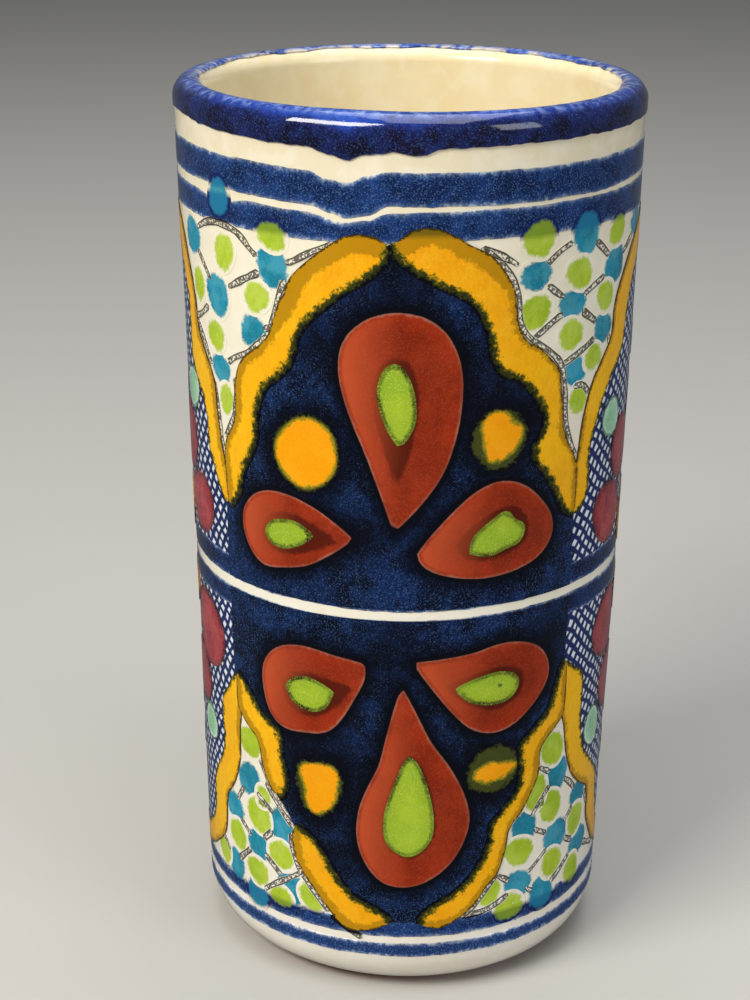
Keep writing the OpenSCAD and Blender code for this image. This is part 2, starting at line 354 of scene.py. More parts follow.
def level(points, u):
    """Height of a painted line at u, through a few (u, s) points, level beyond them."""
    us, heights = zip(*points)
    if abs(u) > HALF_TURN - 1:
        return (heights[0] + heights[-1]) / 2
    if u <= us[0]:
        return heights[0]
    if u >= us[-1]:
        return heights[-1]
    k = max(i for i, at in enumerate(us) if at <= u)
    t = (u - us[k]) / (us[k + 1] - us[k])
    t = t * t * (3 - 2 * t)
    return heights[k] + (heights[k + 1] - heights[k]) * t


RAGGED = 0.16
RING_ROWS = 8
TOP_INSET = 0.1


def ring(low, high, seed):
    """A painted band between two lines that wander round the pot."""
    profile = [(0, BAND_LEDGE)] + [(k / RING_ROWS, BAND_RISE) for k in range(RING_ROWS + 1)]
    profile += [(1, BAND_LEDGE), (1, UNDER_ENAMEL), (0, UNDER_ENAMEL)]

    def place(u, t, h):
        from_s = level(low, u) + RAGGED * (wander(u, 0, 1.3, seed) + wander(u, 0, 5, seed + 3))
        to_s = level(high, u) + RAGGED * (wander(u, 9, 1.3, seed) + wander(u, 9, 5, seed + 3))
        on_top = h > (BAND_RISE + BAND_LEDGE) / 2
        inward = TOP_INSET if on_top else 0.0
        s = from_s + inward + (to_s - from_s - 2 * inward) * t
        return on_pot(u, s, h), min(s - from_s, to_s - s), s

    return spun(profile, place)


# ---- shading ----

def paint(code):
    """A colour from its six-figure code, as linear light."""
    parts = [int(code[i:i + 2], 16) / 255 for i in (0, 2, 4)]
    return [c / 12.92 if c <= 0.04045 else ((c + 0.055) / 1.055) ** 2.4 for c in parts] + [1.0]


def add(tree, kind, inputs=None, **settings):
    """A shader node with its settings, its values and the sockets that feed it."""
    node = tree.nodes.new("ShaderNode" + kind)
    for key, value in settings.items():
        setattr(node, key, value)
    for key, value in (inputs or {}).items():
        if isinstance(value, bpy.types.NodeSocket):
            tree.links.new(value, node.inputs[key])
        else:
            node.inputs[key].default_value = value
    return node


def maths(tree, operation, a, b=0.0):
    """The result of one operation on two numbers or sockets."""
    return add(tree, "Math", {0: a, 1: b}, operation=operation).outputs[0]


def soft_step(tree, value, low, high):
    """0 below low and 1 above high, or the other way round where low is the greater."""
    falling = low > high
    node = add(
        tree, "MapRange",
        {"Value": value, "From Min": min(low, high), "From Max": max(low, high),
         "To Min": float(falling), "To Max": float(not falling)},
        interpolation_type="SMOOTHSTEP")
    return node.outputs["Result"]


def blended(tree, factor, under, over):
    """One colour over another, by a factor from 0 to 1."""
    return add(tree, "Mix", {0: factor, 6: under, 7: over}, data_type="RGBA").outputs[2]


def new_group(name, inputs, outputs):
    """An empty node group, with its way in and its way out."""
    tree = bpy.data.node_groups.new(name, "ShaderNodeTree")
    for label, default in inputs:
        tree.interface.new_socket(
            name=label, in_out="INPUT", socket_type="NodeSocketFloat").default_value = default
    for label, kind in outputs:
        tree.interface.new_socket(name=label, in_out="OUTPUT", socket_type="NodeSocket" + kind)
    return tree, tree.nodes.new("NodeGroupInput"), tree.nodes.new("NodeGroupOutput")


def noise_at(tree, per_metre, detail, stretch=None):
    """Noise fixed to the pot, with so many cells to the metre."""
    where = add(tree, "TexCoord").outputs["Object"]
    if stretch:
        where = add(tree, "Mapping", {"Vector": where, "Scale": stretch}).outputs[0]
    return add(
        tree, "TexNoise",
        {"Vector": where, "Scale": per_metre, "Detail": detail, "Roughness": 0.55}).outputs[0]


def make_pigment():
    """Where pigment grains, brush streaks, thin patches and drifts of a wash show."""
    masks = ("Grain", "Streak", "Patch", "Drift")
    tree, _, leave = new_group("pigment", [], [(mask, "Float") for mask in masks])
    noises = (
        soft_step(tree, noise_at(tree, 4200, 2), 0.52, 0.68),
        soft_step(tree, noise_at(tree, 1700, 3, (1, 1, 0.35)), 0.45, 0.65),
        soft_step(tree, noise_at(tree, 260, 4), 0.42, 0.62),
        soft_step(tree, noise_at(tree, 90, 2), 0.35, 0.65))
    for mask, noise_mask in zip(masks, noises):
        tree.links.new(noise_mask, leave.inputs[mask])
    return tree


def make_brushed_edge():
    """A distance from an edge that strays as a loaded brush does."""
    tree, enter, leave = new_group(
        "brushed_edge", [("Distance", 0.0), ("Stray", 0.3)], [("Distance", "Float")])
    broad = maths(tree, "SUBTRACT", noise_at(tree, 1000, 2), 0.5)
    fine = maths(tree, "SUBTRACT", noise_at(tree, 3000, 2), 0.5)
    both = maths(tree, "ADD", broad, maths(tree, "MULTIPLY", fine, 0.7))
    strayed = maths(tree, "MULTIPLY", both, enter.outputs["Stray"])
    tree.links.new(maths(tree, "ADD", enter.outputs["Distance"], strayed), leave.inputs[0])
    return tree


def make_gloss():
    """The gloss of a fired glaze: faintly rippled, pitted and smeared."""
    tree, enter, leave = new_group(
        "fired_gloss", [("Roughness", 0.1), ("Ripple", 0.15)],
        [("Roughness", "Float"), ("Normal", "Vector")])
    smear = maths(tree, "MULTIPLY", soft_step(tree, noise_at(tree, 120, 4), 0.4, 0.7), 0.10)
    tree.links.new(maths(tree, "ADD", enter.outputs["Roughness"], smear), leave.inputs["Roughness"])
    ripple = noise_at(tree, 170, 2)
    pits = maths(tree, "MULTIPLY", soft_step(tree, noise_at(tree, 1300, 2), 0.66, 0.78), -0.25)
    height = maths(tree, "ADD", ripple, pits)
    bump = add(
        tree, "Bump",
        {"Height": height, "Strength": enter.outputs["Ripple"], "Distance": 0.0006})
    tree.links.new(bump.outputs[0], leave.inputs["Normal"])
    return tree


def make_tin_white():
    """Tin glaze: warm at the shoulder and paler towards the foot."""
    tree, _, leave = new_group("tin_white_wash", [], [("Color", "Color")])
    where = add(tree, "TexCoord").outputs["Object"]
    height = add(tree, "SeparateXYZ", {0: where}).outputs["Z"]
    colour = ramp(tree, height, [
        (0, "ece7dc"), (0.02, "f0ebdd"), (0.07, "efeada"), (0.125, "eee8d2"), (0.137, "e9dfc2"),
        (0.15, "e2d6b6")], 0.16)
    warm = maths(tree, "MULTIPLY", soft_step(tree, noise_at(tree, 90, 2), 0.35, 0.65), 0.3)
    colour = blended(tree, warm, colour, paint("e4dabd"))
    cloud = maths(tree, "MULTIPLY", soft_step(tree, noise_at(tree, 300, 4), 0.42, 0.62), 0.3)
    colour = blended(tree, cloud, colour, paint("f6f1e4"))
    tree.links.new(colour, leave.inputs["Color"])
    return tree


PIGMENT = make_pigment()
BRUSHED_EDGE = make_brushed_edge()
GLOSS = make_gloss()


def mark(tree, name):
    """A number stored on the piece."""
    return add(tree, "Attribute", attribute_name=name).outputs["Fac"]


def ramp(tree, factor, stops, span):
    """Colours by distance, as (distance, code) stops up to span."""
    node = add(tree, "ValToRGB", {0: maths(tree, "DIVIDE", factor, span)})
    elements = node.color_ramp.elements
    while len(elements) < len(stops):
        elements.new(0.5)
    for element, (at, code) in zip(elements, stops):
        element.position = at / span
        element.color = paint(code)
    return node.outputs["Color"]


def start_material(name, roughness=0.10, ripple=0.12, coat_weight=0.1, specular=0.27):
    """A glazed material with its gloss set, ready for its colour."""
    material = bpy.data.materials.new(name)
    material.use_nodes = True
    tree = material.node_tree
    shader = tree.nodes["Principled BSDF"]
    gloss = add(tree, "Group", {"Roughness": roughness, "Ripple": ripple}, node_tree=GLOSS)
    tree.links.new(gloss.outputs["Roughness"], shader.inputs["Roughness"])
    tree.links.new(gloss.outputs["Normal"], shader.inputs["Normal"])
    shader.inputs["Specular IOR Level"].default_value = specular
    shader.inputs["Coat Weight"].default_value = coat_weight
    shader.inputs["Coat Roughness"].default_value = 0.05
    return material, tree, shader


def brushed(tree, stray, name="edge"):
    """A distance stored on the piece, strayed as a brush strays."""
    inputs = {"Distance": mark(tree, name), "Stray": stray}
    return add(tree, "Group", inputs, node_tree=BRUSHED_EDGE).outputs["Distance"]


def washes(tree, colour, layers):
    """Lays thin washes over a colour, each (mask name, code, strength)."""
    pigment = add(tree, "Group", node_tree=PIGMENT)
    for mask, code, strength in layers:
        factor = maths(tree, "MULTIPLY", pigment.outputs[mask], strength)
        colour = blended(tree, factor, colour, paint(code))
    return colour


def plain_wash(name, code, layers, **gloss):
    """Clay or glaze of one colour, under thin washes."""
    material, tree, shader = start_material(name, **gloss)
    tree.links.new(washes(tree, paint(code), layers), shader.inputs["Base Color"])
    return material


EDGE_SPAN = 3.0


def enamel(name, stops, stray, layers):
    """An enamel whose colour changes in from its painted edge."""
    material, tree, shader = start_material(name)
    colour = ramp(tree, brushed(tree, stray), stops, EDGE_SPAN)
    tree.links.new(washes(tree, colour, layers), shader.inputs["Base Color"])
    return material


clay_body = plain_wash(
    "fired_clay", "b5845c", (("Patch", "9a6a47", 0.5), ("Grain", "c79a72", 0.5)),
    roughness=0.75, ripple=0.5, coat_weight=0.0)
cream_glaze = plain_wash(
    "cream_glaze", "e9dcb6",
    (("Drift", "e2cf9f", 0.5), ("Patch", "efe6cb", 0.4), ("Grain", "e0d1a6", 0.25)))
band_cobalt = enamel(
    "band_cobalt",
    [(0, "d5d8d4"), (0.22, "849abb"), (0.6, "2a4a84"), (1.1, "142c60"), (3, "0e224e")], stray=1.3,
    layers=(("Drift", "07143a", 0.6), ("Patch", "1f4280", 0.5), ("Streak", "06102c", 0.4),
            ("Grain", "6a90c4", 0.38)))
waist_cobalt = enamel(
    "waist_cobalt",
    [(0, "c9cdd0"), (0.22, "6f86ac"), (0.5, "22407a"), (0.9, "0b1a42"), (3, "071230")], stray=1.3,
    layers=(("Drift", "050b24", 0.75), ("Patch", "173470", 0.45), ("Streak", "04081a", 0.4),
            ("Grain", "5a80ba", 0.34)))
foot_cobalt = enamel(
    "foot_cobalt",
    [(0, "dfe0dc"), (0.2, "8b9dbe"), (0.6, "2c4a82"), (1.1, "1c3a6e"), (3, "183264")], stray=1.5,
    layers=(("Drift", "122452", 0.5), ("Grain", "7896c4", 0.4)))

TIN_WHITE = make_tin_white()


def white_under(tree):
    """The white glaze, for where an enamel is too thin to hide it."""
    return add(tree, "Group", node_tree=TIN_WHITE).outputs[0]


def make_jacket():
    """Tin white, as it comes from the kiln."""
    material, tree, shader = start_material("tin_white")
    tree.links.new(white_under(tree), shader.inputs["Base Color"])
    return material


def make_rim():
    """Cobalt from its ragged edge over the lip, worn through to the white at the crest. Its near black
    lower half is a painted dark reflection, and its paler upper part is a painted highlight.
    """
    material, tree, shader = start_material("rim_cobalt", roughness=0.05, specular=0.5)
    run = mark(tree, "run")
    # Painted light: near black over the lower half of the lip as a dark reflection, turning to a paler
    # painted highlight towards the crest
    colour = ramp(tree, brushed(tree, 0.5), [
        (0, "3a3552"), (0.25, "0a0818"), (2.9, "0b0920"), (3.9, "121a50"), (4.9, "2040a0"),
        (6.4, "3054b0")], 7)
    colour = washes(tree, colour, (
        ("Drift", "170d2a", 0.45), ("Patch", "2443a0", 0.22), ("Streak", "060822", 0.40),
        ("Grain", "5c7fd0", 0.22)))
    # A painted highlight: pale blue mottles just below the crest
    painted_highlight = maths(
        tree, "MULTIPLY", soft_step(tree, run, CREST_S - 2.6, CREST_S - 0.8),
        soft_step(tree, noise_at(tree, 700, 4, (1, 1, 0.6)), 0.42, 0.66))
    colour = blended(tree, maths(tree, "MULTIPLY", painted_highlight, 0.55), colour, paint("8ea6d8"))
    worn = maths(
        tree, "MULTIPLY", soft_step(tree, run, CREST_S - 0.6, CREST_S + 2.2),
        soft_step(tree, noise_at(tree, 300, 3), 0.44, 0.60))
    colour = blended(tree, maths(tree, "MULTIPLY", worn, 0.85), colour, white_under(tree))
    tree.links.new(colour, shader.inputs["Base Color"])
    return material


def make_ground():
    """Cobalt fields: near black round the motifs, and bluer where the wash is thin."""
    material, tree, shader = start_material("field_cobalt", roughness=0.12)
    colour = washes(tree, paint("071230"), (
        ("Drift", "040818", 0.85), ("Patch", "16346c", 0.5), ("Streak", "04081a", 0.45),
        ("Grain", "5a80ba", 0.32)))
    pooled = soft_step(tree, brushed(tree, 3.5, "near"), 4.0, 0.6)
    colour = blended(tree, maths(tree, "MULTIPLY", pooled, 0.88), colour, paint("03040c"))
    colour = blended(tree, mark(tree, "dark"), colour, paint("05060f"))
    tree.links.new(colour, shader.inputs["Base Color"])
    return material


def make_red():
    """Red earth: a black line and a pale one round it, darker about its green heart, with a painted
    highlight on its upper left side.
    """
    material, tree, shader = start_material("red_earth", roughness=0.13)
    colour = ramp(tree, brushed(tree, 0.6), [
        (0, "05060f"), (0.5, "0a0a12"), (0.68, "8a6a62"), (0.9, "a85a40"), (1.1, "9a2c0e"),
        (2.6, "92280a"), (4, "822207")], 4)
    colour = washes(tree, colour, (
        ("Drift", "a03718", 0.4), ("Patch", "74200a", 0.55), ("Grain", "b85a3a", 0.3),
        ("Streak", "7a2208", 0.25)))
    shaded = soft_step(tree, brushed(tree, 0.9, "heart"), 0.75, 0.0)
    colour = blended(tree, maths(tree, "MULTIPLY", shaded, 0.85), colour, paint("481305"))
    rim = soft_step(tree, mark(tree, "edge"), 0.75, 0.6)
    colour = blended(tree, rim, colour, paint("06070f"))
    # A painted highlight, paler on the upper left of the petal
    within = soft_step(tree, mark(tree, "edge"), 0.9, 1.6)
    light = maths(tree, "MULTIPLY", mark(tree, "light"), within)
    colour = blended(tree, light, colour, paint("c4552f"))
    tree.links.new(colour, shader.inputs["Base Color"])
    return material


def make_border():
    """Yellow ochre, mustard where it was gone over on one side and smoky on the cobalt."""
    material, tree, shader = start_material("yellow_ochre", roughness=0.12)
    warm = blended(tree, mark(tree, "warm"), paint("fac000"), paint("f0a000"))
    colour = washes(tree, warm, (
        ("Drift", "e89606", 0.35), ("Patch", "f9bc1c", 0.3), ("Grain", "ffd95e", 0.22),
        ("Streak", "d48e08", 0.22)))
    reach = maths(tree, "SUBTRACT", noise_at(tree, 110, 1), 0.5)
    reach = maths(tree, "ADD", maths(tree, "MULTIPLY", reach, 2.2), mark(tree, "spread"))
    gone_over = maths(tree, "SUBTRACT", brushed(tree, 1.6, "lattice"), reach)
    mustard = soft_step(tree, gone_over, 0.35, -0.25)
    colour = blended(tree, maths(tree, "MULTIPLY", mustard, 0.8), colour, paint("a67a06"))
    band = soft_step(tree, mark(tree, "over"), 0.1, 0.9)
    colour = blended(tree, maths(tree, "MULTIPLY", band, 0.8), colour, paint("565010"))
    line = soft_step(tree, brushed(tree, 0.9, "lattice"), 0.36, 0.1)
    colour = blended(tree, maths(tree, "MULTIPLY", line, 0.85), colour, paint("1f1b0e"))
    smoke = brushed(tree, 2.0, "far")
    colour = blended(tree, soft_step(tree, smoke, 1.75, 1.3), colour, paint("8a760c"))
    colour = blended(tree, soft_step(tree, smoke, 1.4, 1.0), colour, paint("34370f"))
    colour = blended(tree, soft_step(tree, smoke, 0.85, 0.2), colour, paint("05060f"))
    tree.links.new(colour, shader.inputs["Base Color"])
    return material


def make_spot():
    """A yellow dab with olive smoke round it, that fades into the dark cobalt."""
    material, tree, shader = start_material("smoked_yellow")
    colour = washes(tree, paint("f09c00"), (("Patch", "f6ae14", 0.3), ("Grain", "ffca48", 0.2)))
    out = brushed(tree, 1.3, "core")
    colour = blended(tree, soft_step(tree, out, -0.2, 0.15), colour, paint("94861a"))
    colour = blended(tree, soft_step(tree, out, 0.2, 0.75), colour, paint("41471a"))
    edge = soft_step(tree, brushed(tree, 2.0), 0.9, 0.1)
    colour = blended(tree, edge, colour, paint("05060f"))
    tree.links.new(colour, shader.inputs["Base Color"])
    return material


def make_net():
    """A navy net brushed over tin white."""
    material, tree, shader = start_material("navy_net")
    where = add(tree, "Attribute", attribute_name="place").outputs["Vector"]
    stray = add(tree, "TexNoise", {"Vector": where, "Scale": 260.0, "Detail": 2.0}).outputs["Color"]
    stray = add(tree, "VectorMath", {0: stray, 1: (0.5, 0.5, 0.5)}, operation="SUBTRACT").outputs[0]
    stray = add(tree, "VectorMath", {0: stray, "Scale": 0.0016}, operation="SCALE").outputs[0]
    where = add(tree, "VectorMath", {0: where, 1: stray}, operation="ADD").outputs[0]
    lines = []
    for turn, pitch in ((34, 0.0016), (-50, 0.0018)):
        turned = add(
            tree, "Mapping", {"Vector": where, "Rotation": (0, 0, math.radians(turn))}).outputs[0]
        x = add(tree, "SeparateXYZ", {0: turned}).outputs[0]
        saw = maths(tree, "PINGPONG", x, pitch / 2)
        lines.append(soft_step(tree, saw, 0.00054, 0.00030))
    net = maths(tree, "MAXIMUM", lines[0], lines[1])
    white = washes(tree, paint("e6edf2"), (("Patch", "b9cbe0", 0.5), ("Grain", "f6f8f8", 0.4)))
    navy = washes(tree, paint("17265c"), (("Patch", "0c1538", 0.6), ("Grain", "44609f", 0.4)))
    colour = blended(tree, net, white, navy)
    close = soft_step(tree, brushed(tree, 0.6, "near"), 0.9, 0.1)
    colour = blended(tree, maths(tree, "MULTIPLY", close, 0.8), colour, paint("10162c"))
    tree.links.new(colour, shader.inputs["Base Color"])
    return material


def make_dot(name, body, deep, pale, over):
    """A thin dab that fades at its edge into the white, or into the band that it overlaps."""
    material, tree, shader = start_material(name)
    d = brushed(tree, 1.1)
    colour = washes(tree, paint(body), (
        ("Drift", deep, 0.6), ("Streak", deep, 0.4), ("Patch", pale, 0.35), ("Grain", pale, 0.25)))
    inside = soft_step(tree, d, 0.35, 1.0)
    white = blended(tree, inside, white_under(tree), colour)
    on_band = blended(tree, soft_step(tree, d, 0.3, 1.0), paint("13235a"), paint(over))
    colour = blended(tree, mark(tree, "over"), white, on_band)
    tree.links.new(colour, shader.inputs["Base Color"])
    return material


def make_line():
    """A sketched double line, scribbled in between."""
    material, tree, shader = start_material("sketched_line")
    side = maths(tree, "ABSOLUTE", mark(tree, "across"))
    scribble = soft_step(tree, noise_at(tree, 2400, 3), 0.42, 0.52)
    edge = maths(tree, "MULTIPLY", soft_step(tree, side, 0.35, 0.65), soft_step(tree, side, 1.0, 0.86))
    edge = maths(tree, "MULTIPLY", edge, 0.95)
    drawn = maths(tree, "MAXIMUM", edge, maths(tree, "MULTIPLY", scribble, 0.85))
    drawn = maths(tree, "MULTIPLY", drawn, soft_step(tree, side, 1.0, 0.8))
    colour = blended(tree, drawn, white_under(tree), paint("1c1c1b"))
    tail = soft_step(tree, mark(tree, "over"), 0.2, 0.8)
    colour = blended(tree, tail, colour, paint("14161c"))
    tree.links.new(colour, shader.inputs["Base Color"])
    return material


tin_white = make_jacket()
rim_cobalt = make_rim()
field_cobalt = make_ground()
red_earth = make_red()
yellow_ochre = make_border()
navy_net = make_net()
lime_wash = make_dot("lime_wash", "b0c930", "8cae1c", "cbdc6c", "7c962e")
turquoise_wash = make_dot("turquoise_wash", "1c8fae", "1b6878", "62b4c8", "1f739a")
sketched_line = make_line()
green_heart = enamel(
    "green_heart",
    [(0, "1c0803"), (0.42, "220e05"), (0.58, "6c7a18"), (0.8, "92ae22"), (3, "a5c02e")], stray=0.5,
    layers=(("Patch", "84a626", 0.5), ("Grain", "cede7a", 0.4), ("Drift", "9cba34", 0.4)))
smoked_yellow = make_spot()
crimson_brush = enamel(
    "crimson_brush",
    [(0, "161220"), (0.45, "1e1622"), (0.75, "7a2630"), (1.3, "a2323a"), (3, "ac4044")], stray=0.9,
    layers=(("Streak", "701e28", 0.7), ("Patch", "c05a58", 0.45), ("Grain", "d48880", 0.35),
            ("Drift", "7c2230", 0.4)))
orange_centre = enamel(
    "orange_centre",
    [(0, "14120c"), (0.45, "3a2c0e"), (0.8, "c98a10"), (1.4, "f2a90f"), (3, "f5b51c")], stray=0.9,
    layers=(("Patch", "e2930a", 0.5), ("Grain", "ffd466", 0.3)))
mint_wash = enamel(
    "mint_wash",
    [(0, "2a3a44"), (0.25, "3f5a5a"), (0.5, "dfeee2"), (0.9, "a9d6b2"), (3, "8fc79c")], stray=0.6,
    layers=(("Patch", "6fae86", 0.5), ("Grain", "cfe8d2", 0.4)))


# ---- clay and glazes ----

TURN_STEPS = 180


def turned(points, name, slot, node, material):
    """A turned solid, from (radius, height) points.  One that meets the axis is closed there."""
    bm = bmesh.new()
    verts = [bm.verts.new((r, 0, z)) for r, z in points]
    edges = [bm.edges.new((a, b)) for a, b in zip(verts, verts[1:] + verts[:1])]
    bmesh.ops.spin(
        bm, geom=verts + edges, cent=(0, 0, 0), axis=(0, 0, 1), angle=2 * math.pi,
        steps=TURN_STEPS, use_merge=True, use_duplicate=False)
    bmesh.ops.remove_doubles(bm, verts=bm.verts, dist=1e-4)
    flat = [f for f in bm.faces if f.calc_area() < 1e-6]
    bmesh.ops.delete(bm, geom=flat, context="FACES_ONLY")
    for v in bm.verts:
        u = math.atan2(v.co.x, -v.co.y) * MID_R
        r = math.hypot(v.co.x, v.co.y)
        grow = 1 + sway(u, v.co.z) / MID_R * min(1, r / 20)
        v.co = Vector((v.co.x * grow, v.co.y * grow, v.co.z)) * MM
    bmesh.ops.recalc_face_normals(bm, faces=bm.faces)
    finish_piece(bm, name, slot, [node], material)


def arc(centre_r, centre_z, radius, start, end, steps=12):
    out = []
    for k in range(steps + 1):
        a = math.radians(start + (end - start) * k / steps)
        out.append((centre_r + radius * math.cos(a), centre_z + radius * math.sin(a)))
    return out


FILLET_R = 5.0
FILLET_AT = (side_r(FLOOR_TOP) - 2 * LIP_R - FILLET_R, FLOOR_TOP - CLAY_H + FILLET_R)


def heel_arc(h, start):
    return arc(side_r(HEEL_R) - HEEL_R, HEEL_R, HEEL_R + h, start, 0)


def lip_arc(h, start, end):
    return arc(side_r(LIP_S) - LIP_R, LIP_S, LIP_R + h, start, end, 16)


def inside_arc(h):
    return arc(*FILLET_AT, FILLET_R - h, 0, -90)


def climbed(points, step=6):
    """Points with the long stretches between them cut up."""
    out = [points[0]]
    for (r1, z1), (r2, z2) in zip(points, points[1:]):
        cuts = max(1, round(math.hypot(r2 - r1, z2 - z1) / step))
        out += [(r1 + (r2 - r1) * k / cuts, z1 + (z2 - z1) * k / cuts) for k in range(1, cuts + 1)]
    return out


HEEL_FROM = -70
foot_edge = heel_arc(CLAY_H, HEEL_FROM)[0][0] - 0.6
turned(
    climbed([(FLOOR_R, 0.25), (FLOOR_R + 0.4, 0), (foot_edge - 0.4, 0), (foot_edge, 0.3)]
            + heel_arc(CLAY_H, HEEL_FROM) + lip_arc(CLAY_H, 0, 180) + inside_arc(CLAY_H)
            + [(FLOOR_R, FLOOR_TOP)]),
    "clay_wall_body", "clay", "clay_wall", clay_body)
turned(
    climbed([(0, FLOOR_UNDER), (FLOOR_R, FLOOR_UNDER), (FLOOR_R, FLOOR_TOP), (0, FLOOR_TOP)]),
    "clay_floor_disc", "clay", "clay_floor", clay_body)
turned(
    climbed(lip_arc(-ENAMEL_T, 90, 180) + inside_arc(-ENAMEL_T)
            + [(0, FLOOR_TOP - CLAY_H - ENAMEL_T), (0, FLOOR_TOP)]
            + inside_arc(CLAY_H)[::-1] + lip_arc(CLAY_H, 90, 180)[::-1]),
    "cream_lining", "cream_lining", "lining_glaze", cream_glaze)

# Degrees round the heel to where the glaze was wiped off the foot
JACKET_STOPS = 58
JACKET_FROM = HEEL_R - math.radians(JACKET_STOPS) * HEEL_R
finish_piece(
    spun(skin(JACKET_FROM, CREST_S, -ENAMEL_T, CLAY_H, 90), plain_place),
    "white_jacket", "tin_white", ["jacket_glaze"], tin_white)


# ---- bands ----

RIM_LINE = [
    (-60, 145.6), (-45, 145.9), (-30, 145.0), (-15, 144.6), (-12, 143.7), (-9, 142.8), (-7, 143.8),
    (-4, 144.1), (-2, 144.5), (1, 143.8), (5, 145.0), (30, 145.3), (60, 145.6)]
WIDE_TOP = [
    (-60, 142.0), (-25, 141.5), (-15, 141.1), (-12.5, 140.1), (-9, 139.6), (-6, 140.9), (-3, 141.5),
    (60, 141.8)]
WIDE_LOW = [
    (-60, 136.9), (-40, 136.7), (-25, 136.2), (-15, 135.9), (-11.5, 134.9), (-9.5, 134.4), (-6, 134.9),
    (-3, 136.4), (20, 136.4), (60, 136.9)]
NARROW_TOP = [
    (-60, 135.6), (-40, 135.2), (-33, 134.3), (-25, 135.2), (-15, 134.9), (-11, 134.0), (-9.5, 133.6),
    (-6, 134.2), (-3, 135.4), (10, 135.8), (60, 136.0)]
NARROW_LOW = [(-60, 130.8), (-12, 130.6), (12, 131.3), (60, 131.1)]
WAIST_TOP = [(-60, 75.6), (60, 75.6)]
WAIST_UPPER_LOW = [(-60, 71.9), (-20, 71.6), (0, 71.4), (30, 71.8), (60, 72.0)]
WAIST_LOWER_TOP = [(-60, 70.2), (-20, 70.0), (0, 69.9), (30, 70.4), (60, 70.4)]
WAIST_LOW = [(-60, 66.4), (60, 66.4)]
LOW_TOP = [(-60, 14.9), (-30, 14.6), (0, 15.2), (30, 15.3), (60, 15.0)]
LOW_LOW = [(-60, 12.4), (-30, 12.0), (0, 11.8), (30, 12.1), (60, 12.6)]
FOOT_TOP = [(-60, 10.8), (0, 10.6), (60, 10.8)]
FOOT_LOW = [(-60, 8.1), (-20, 7.8), (20, 8.1), (60, 8.1)]


def band(name, node, low, high, seed, slot="cobalt", material=band_cobalt):
    finish_piece(ring(low, high, seed), name, slot, [node], material)


band("wide_upper_cobalt_band", "wide_upper_band", WIDE_LOW, WIDE_TOP, 11)
band("narrow_upper_cobalt_band", "narrow_upper_band", NARROW_LOW, NARROW_TOP, 23)
band(
    "waist_upper_cobalt_band", "waist_upper_band", WAIST_UPPER_LOW, WAIST_TOP, 31,
    material=waist_cobalt)
band(
    "waist_lower_cobalt_band", "waist_lower_band", WAIST_LOW, WAIST_LOWER_TOP, 47,
    material=waist_cobalt)
band("lower_cobalt_band", "lower_band", LOW_LOW, LOW_TOP, 53)
band("foot_blue_band", "foot_band", FOOT_LOW, FOOT_TOP, 61, "foot_blue", foot_cobalt)


RIM_ROWS = 30
RIM_INSET = 0.012
RIM_ENDS = LIP_S + LIP_R * 2.1


def make_rim_piece():
    """Cobalt from a ragged line outside, over the lip, to a feathered line just inside."""
    def place(u, t, h):
        low = level(RIM_LINE, u) + 0.22 * (wander(u, 0, 1.1, 71) + wander(u, 0, 4, 73))
        high = RIM_ENDS + 0.5 * wander(u, 3, 7, 79) + 0.3 * wander(u, 3, 2.2, 83)
        s = low + (high - low) * t
        return on_pot(u, s, h), s - low, s

    steps = [k / RIM_ROWS for k in range(RIM_ROWS + 1)]
    top = [(RIM_INSET + (1 - 2 * RIM_INSET) * t, RIM_RISE) for t in steps]
    under = [(t, UNDER_ENAMEL) for t in reversed(steps)]
    profile = [(0, BAND_LEDGE)] + top + [(1, BAND_LEDGE)] + under
    finish_piece(
        spun(profile, place), "rim_cobalt_lip", "cobalt", ["rim_enamel"], rim_cobalt)


make_rim_piece()


# ---- borders between the panels and the lattices ----
# Each arm has the edge on its lattice side and its far edge, as (u, s) from the top or the foot
# to the point of the lattice.

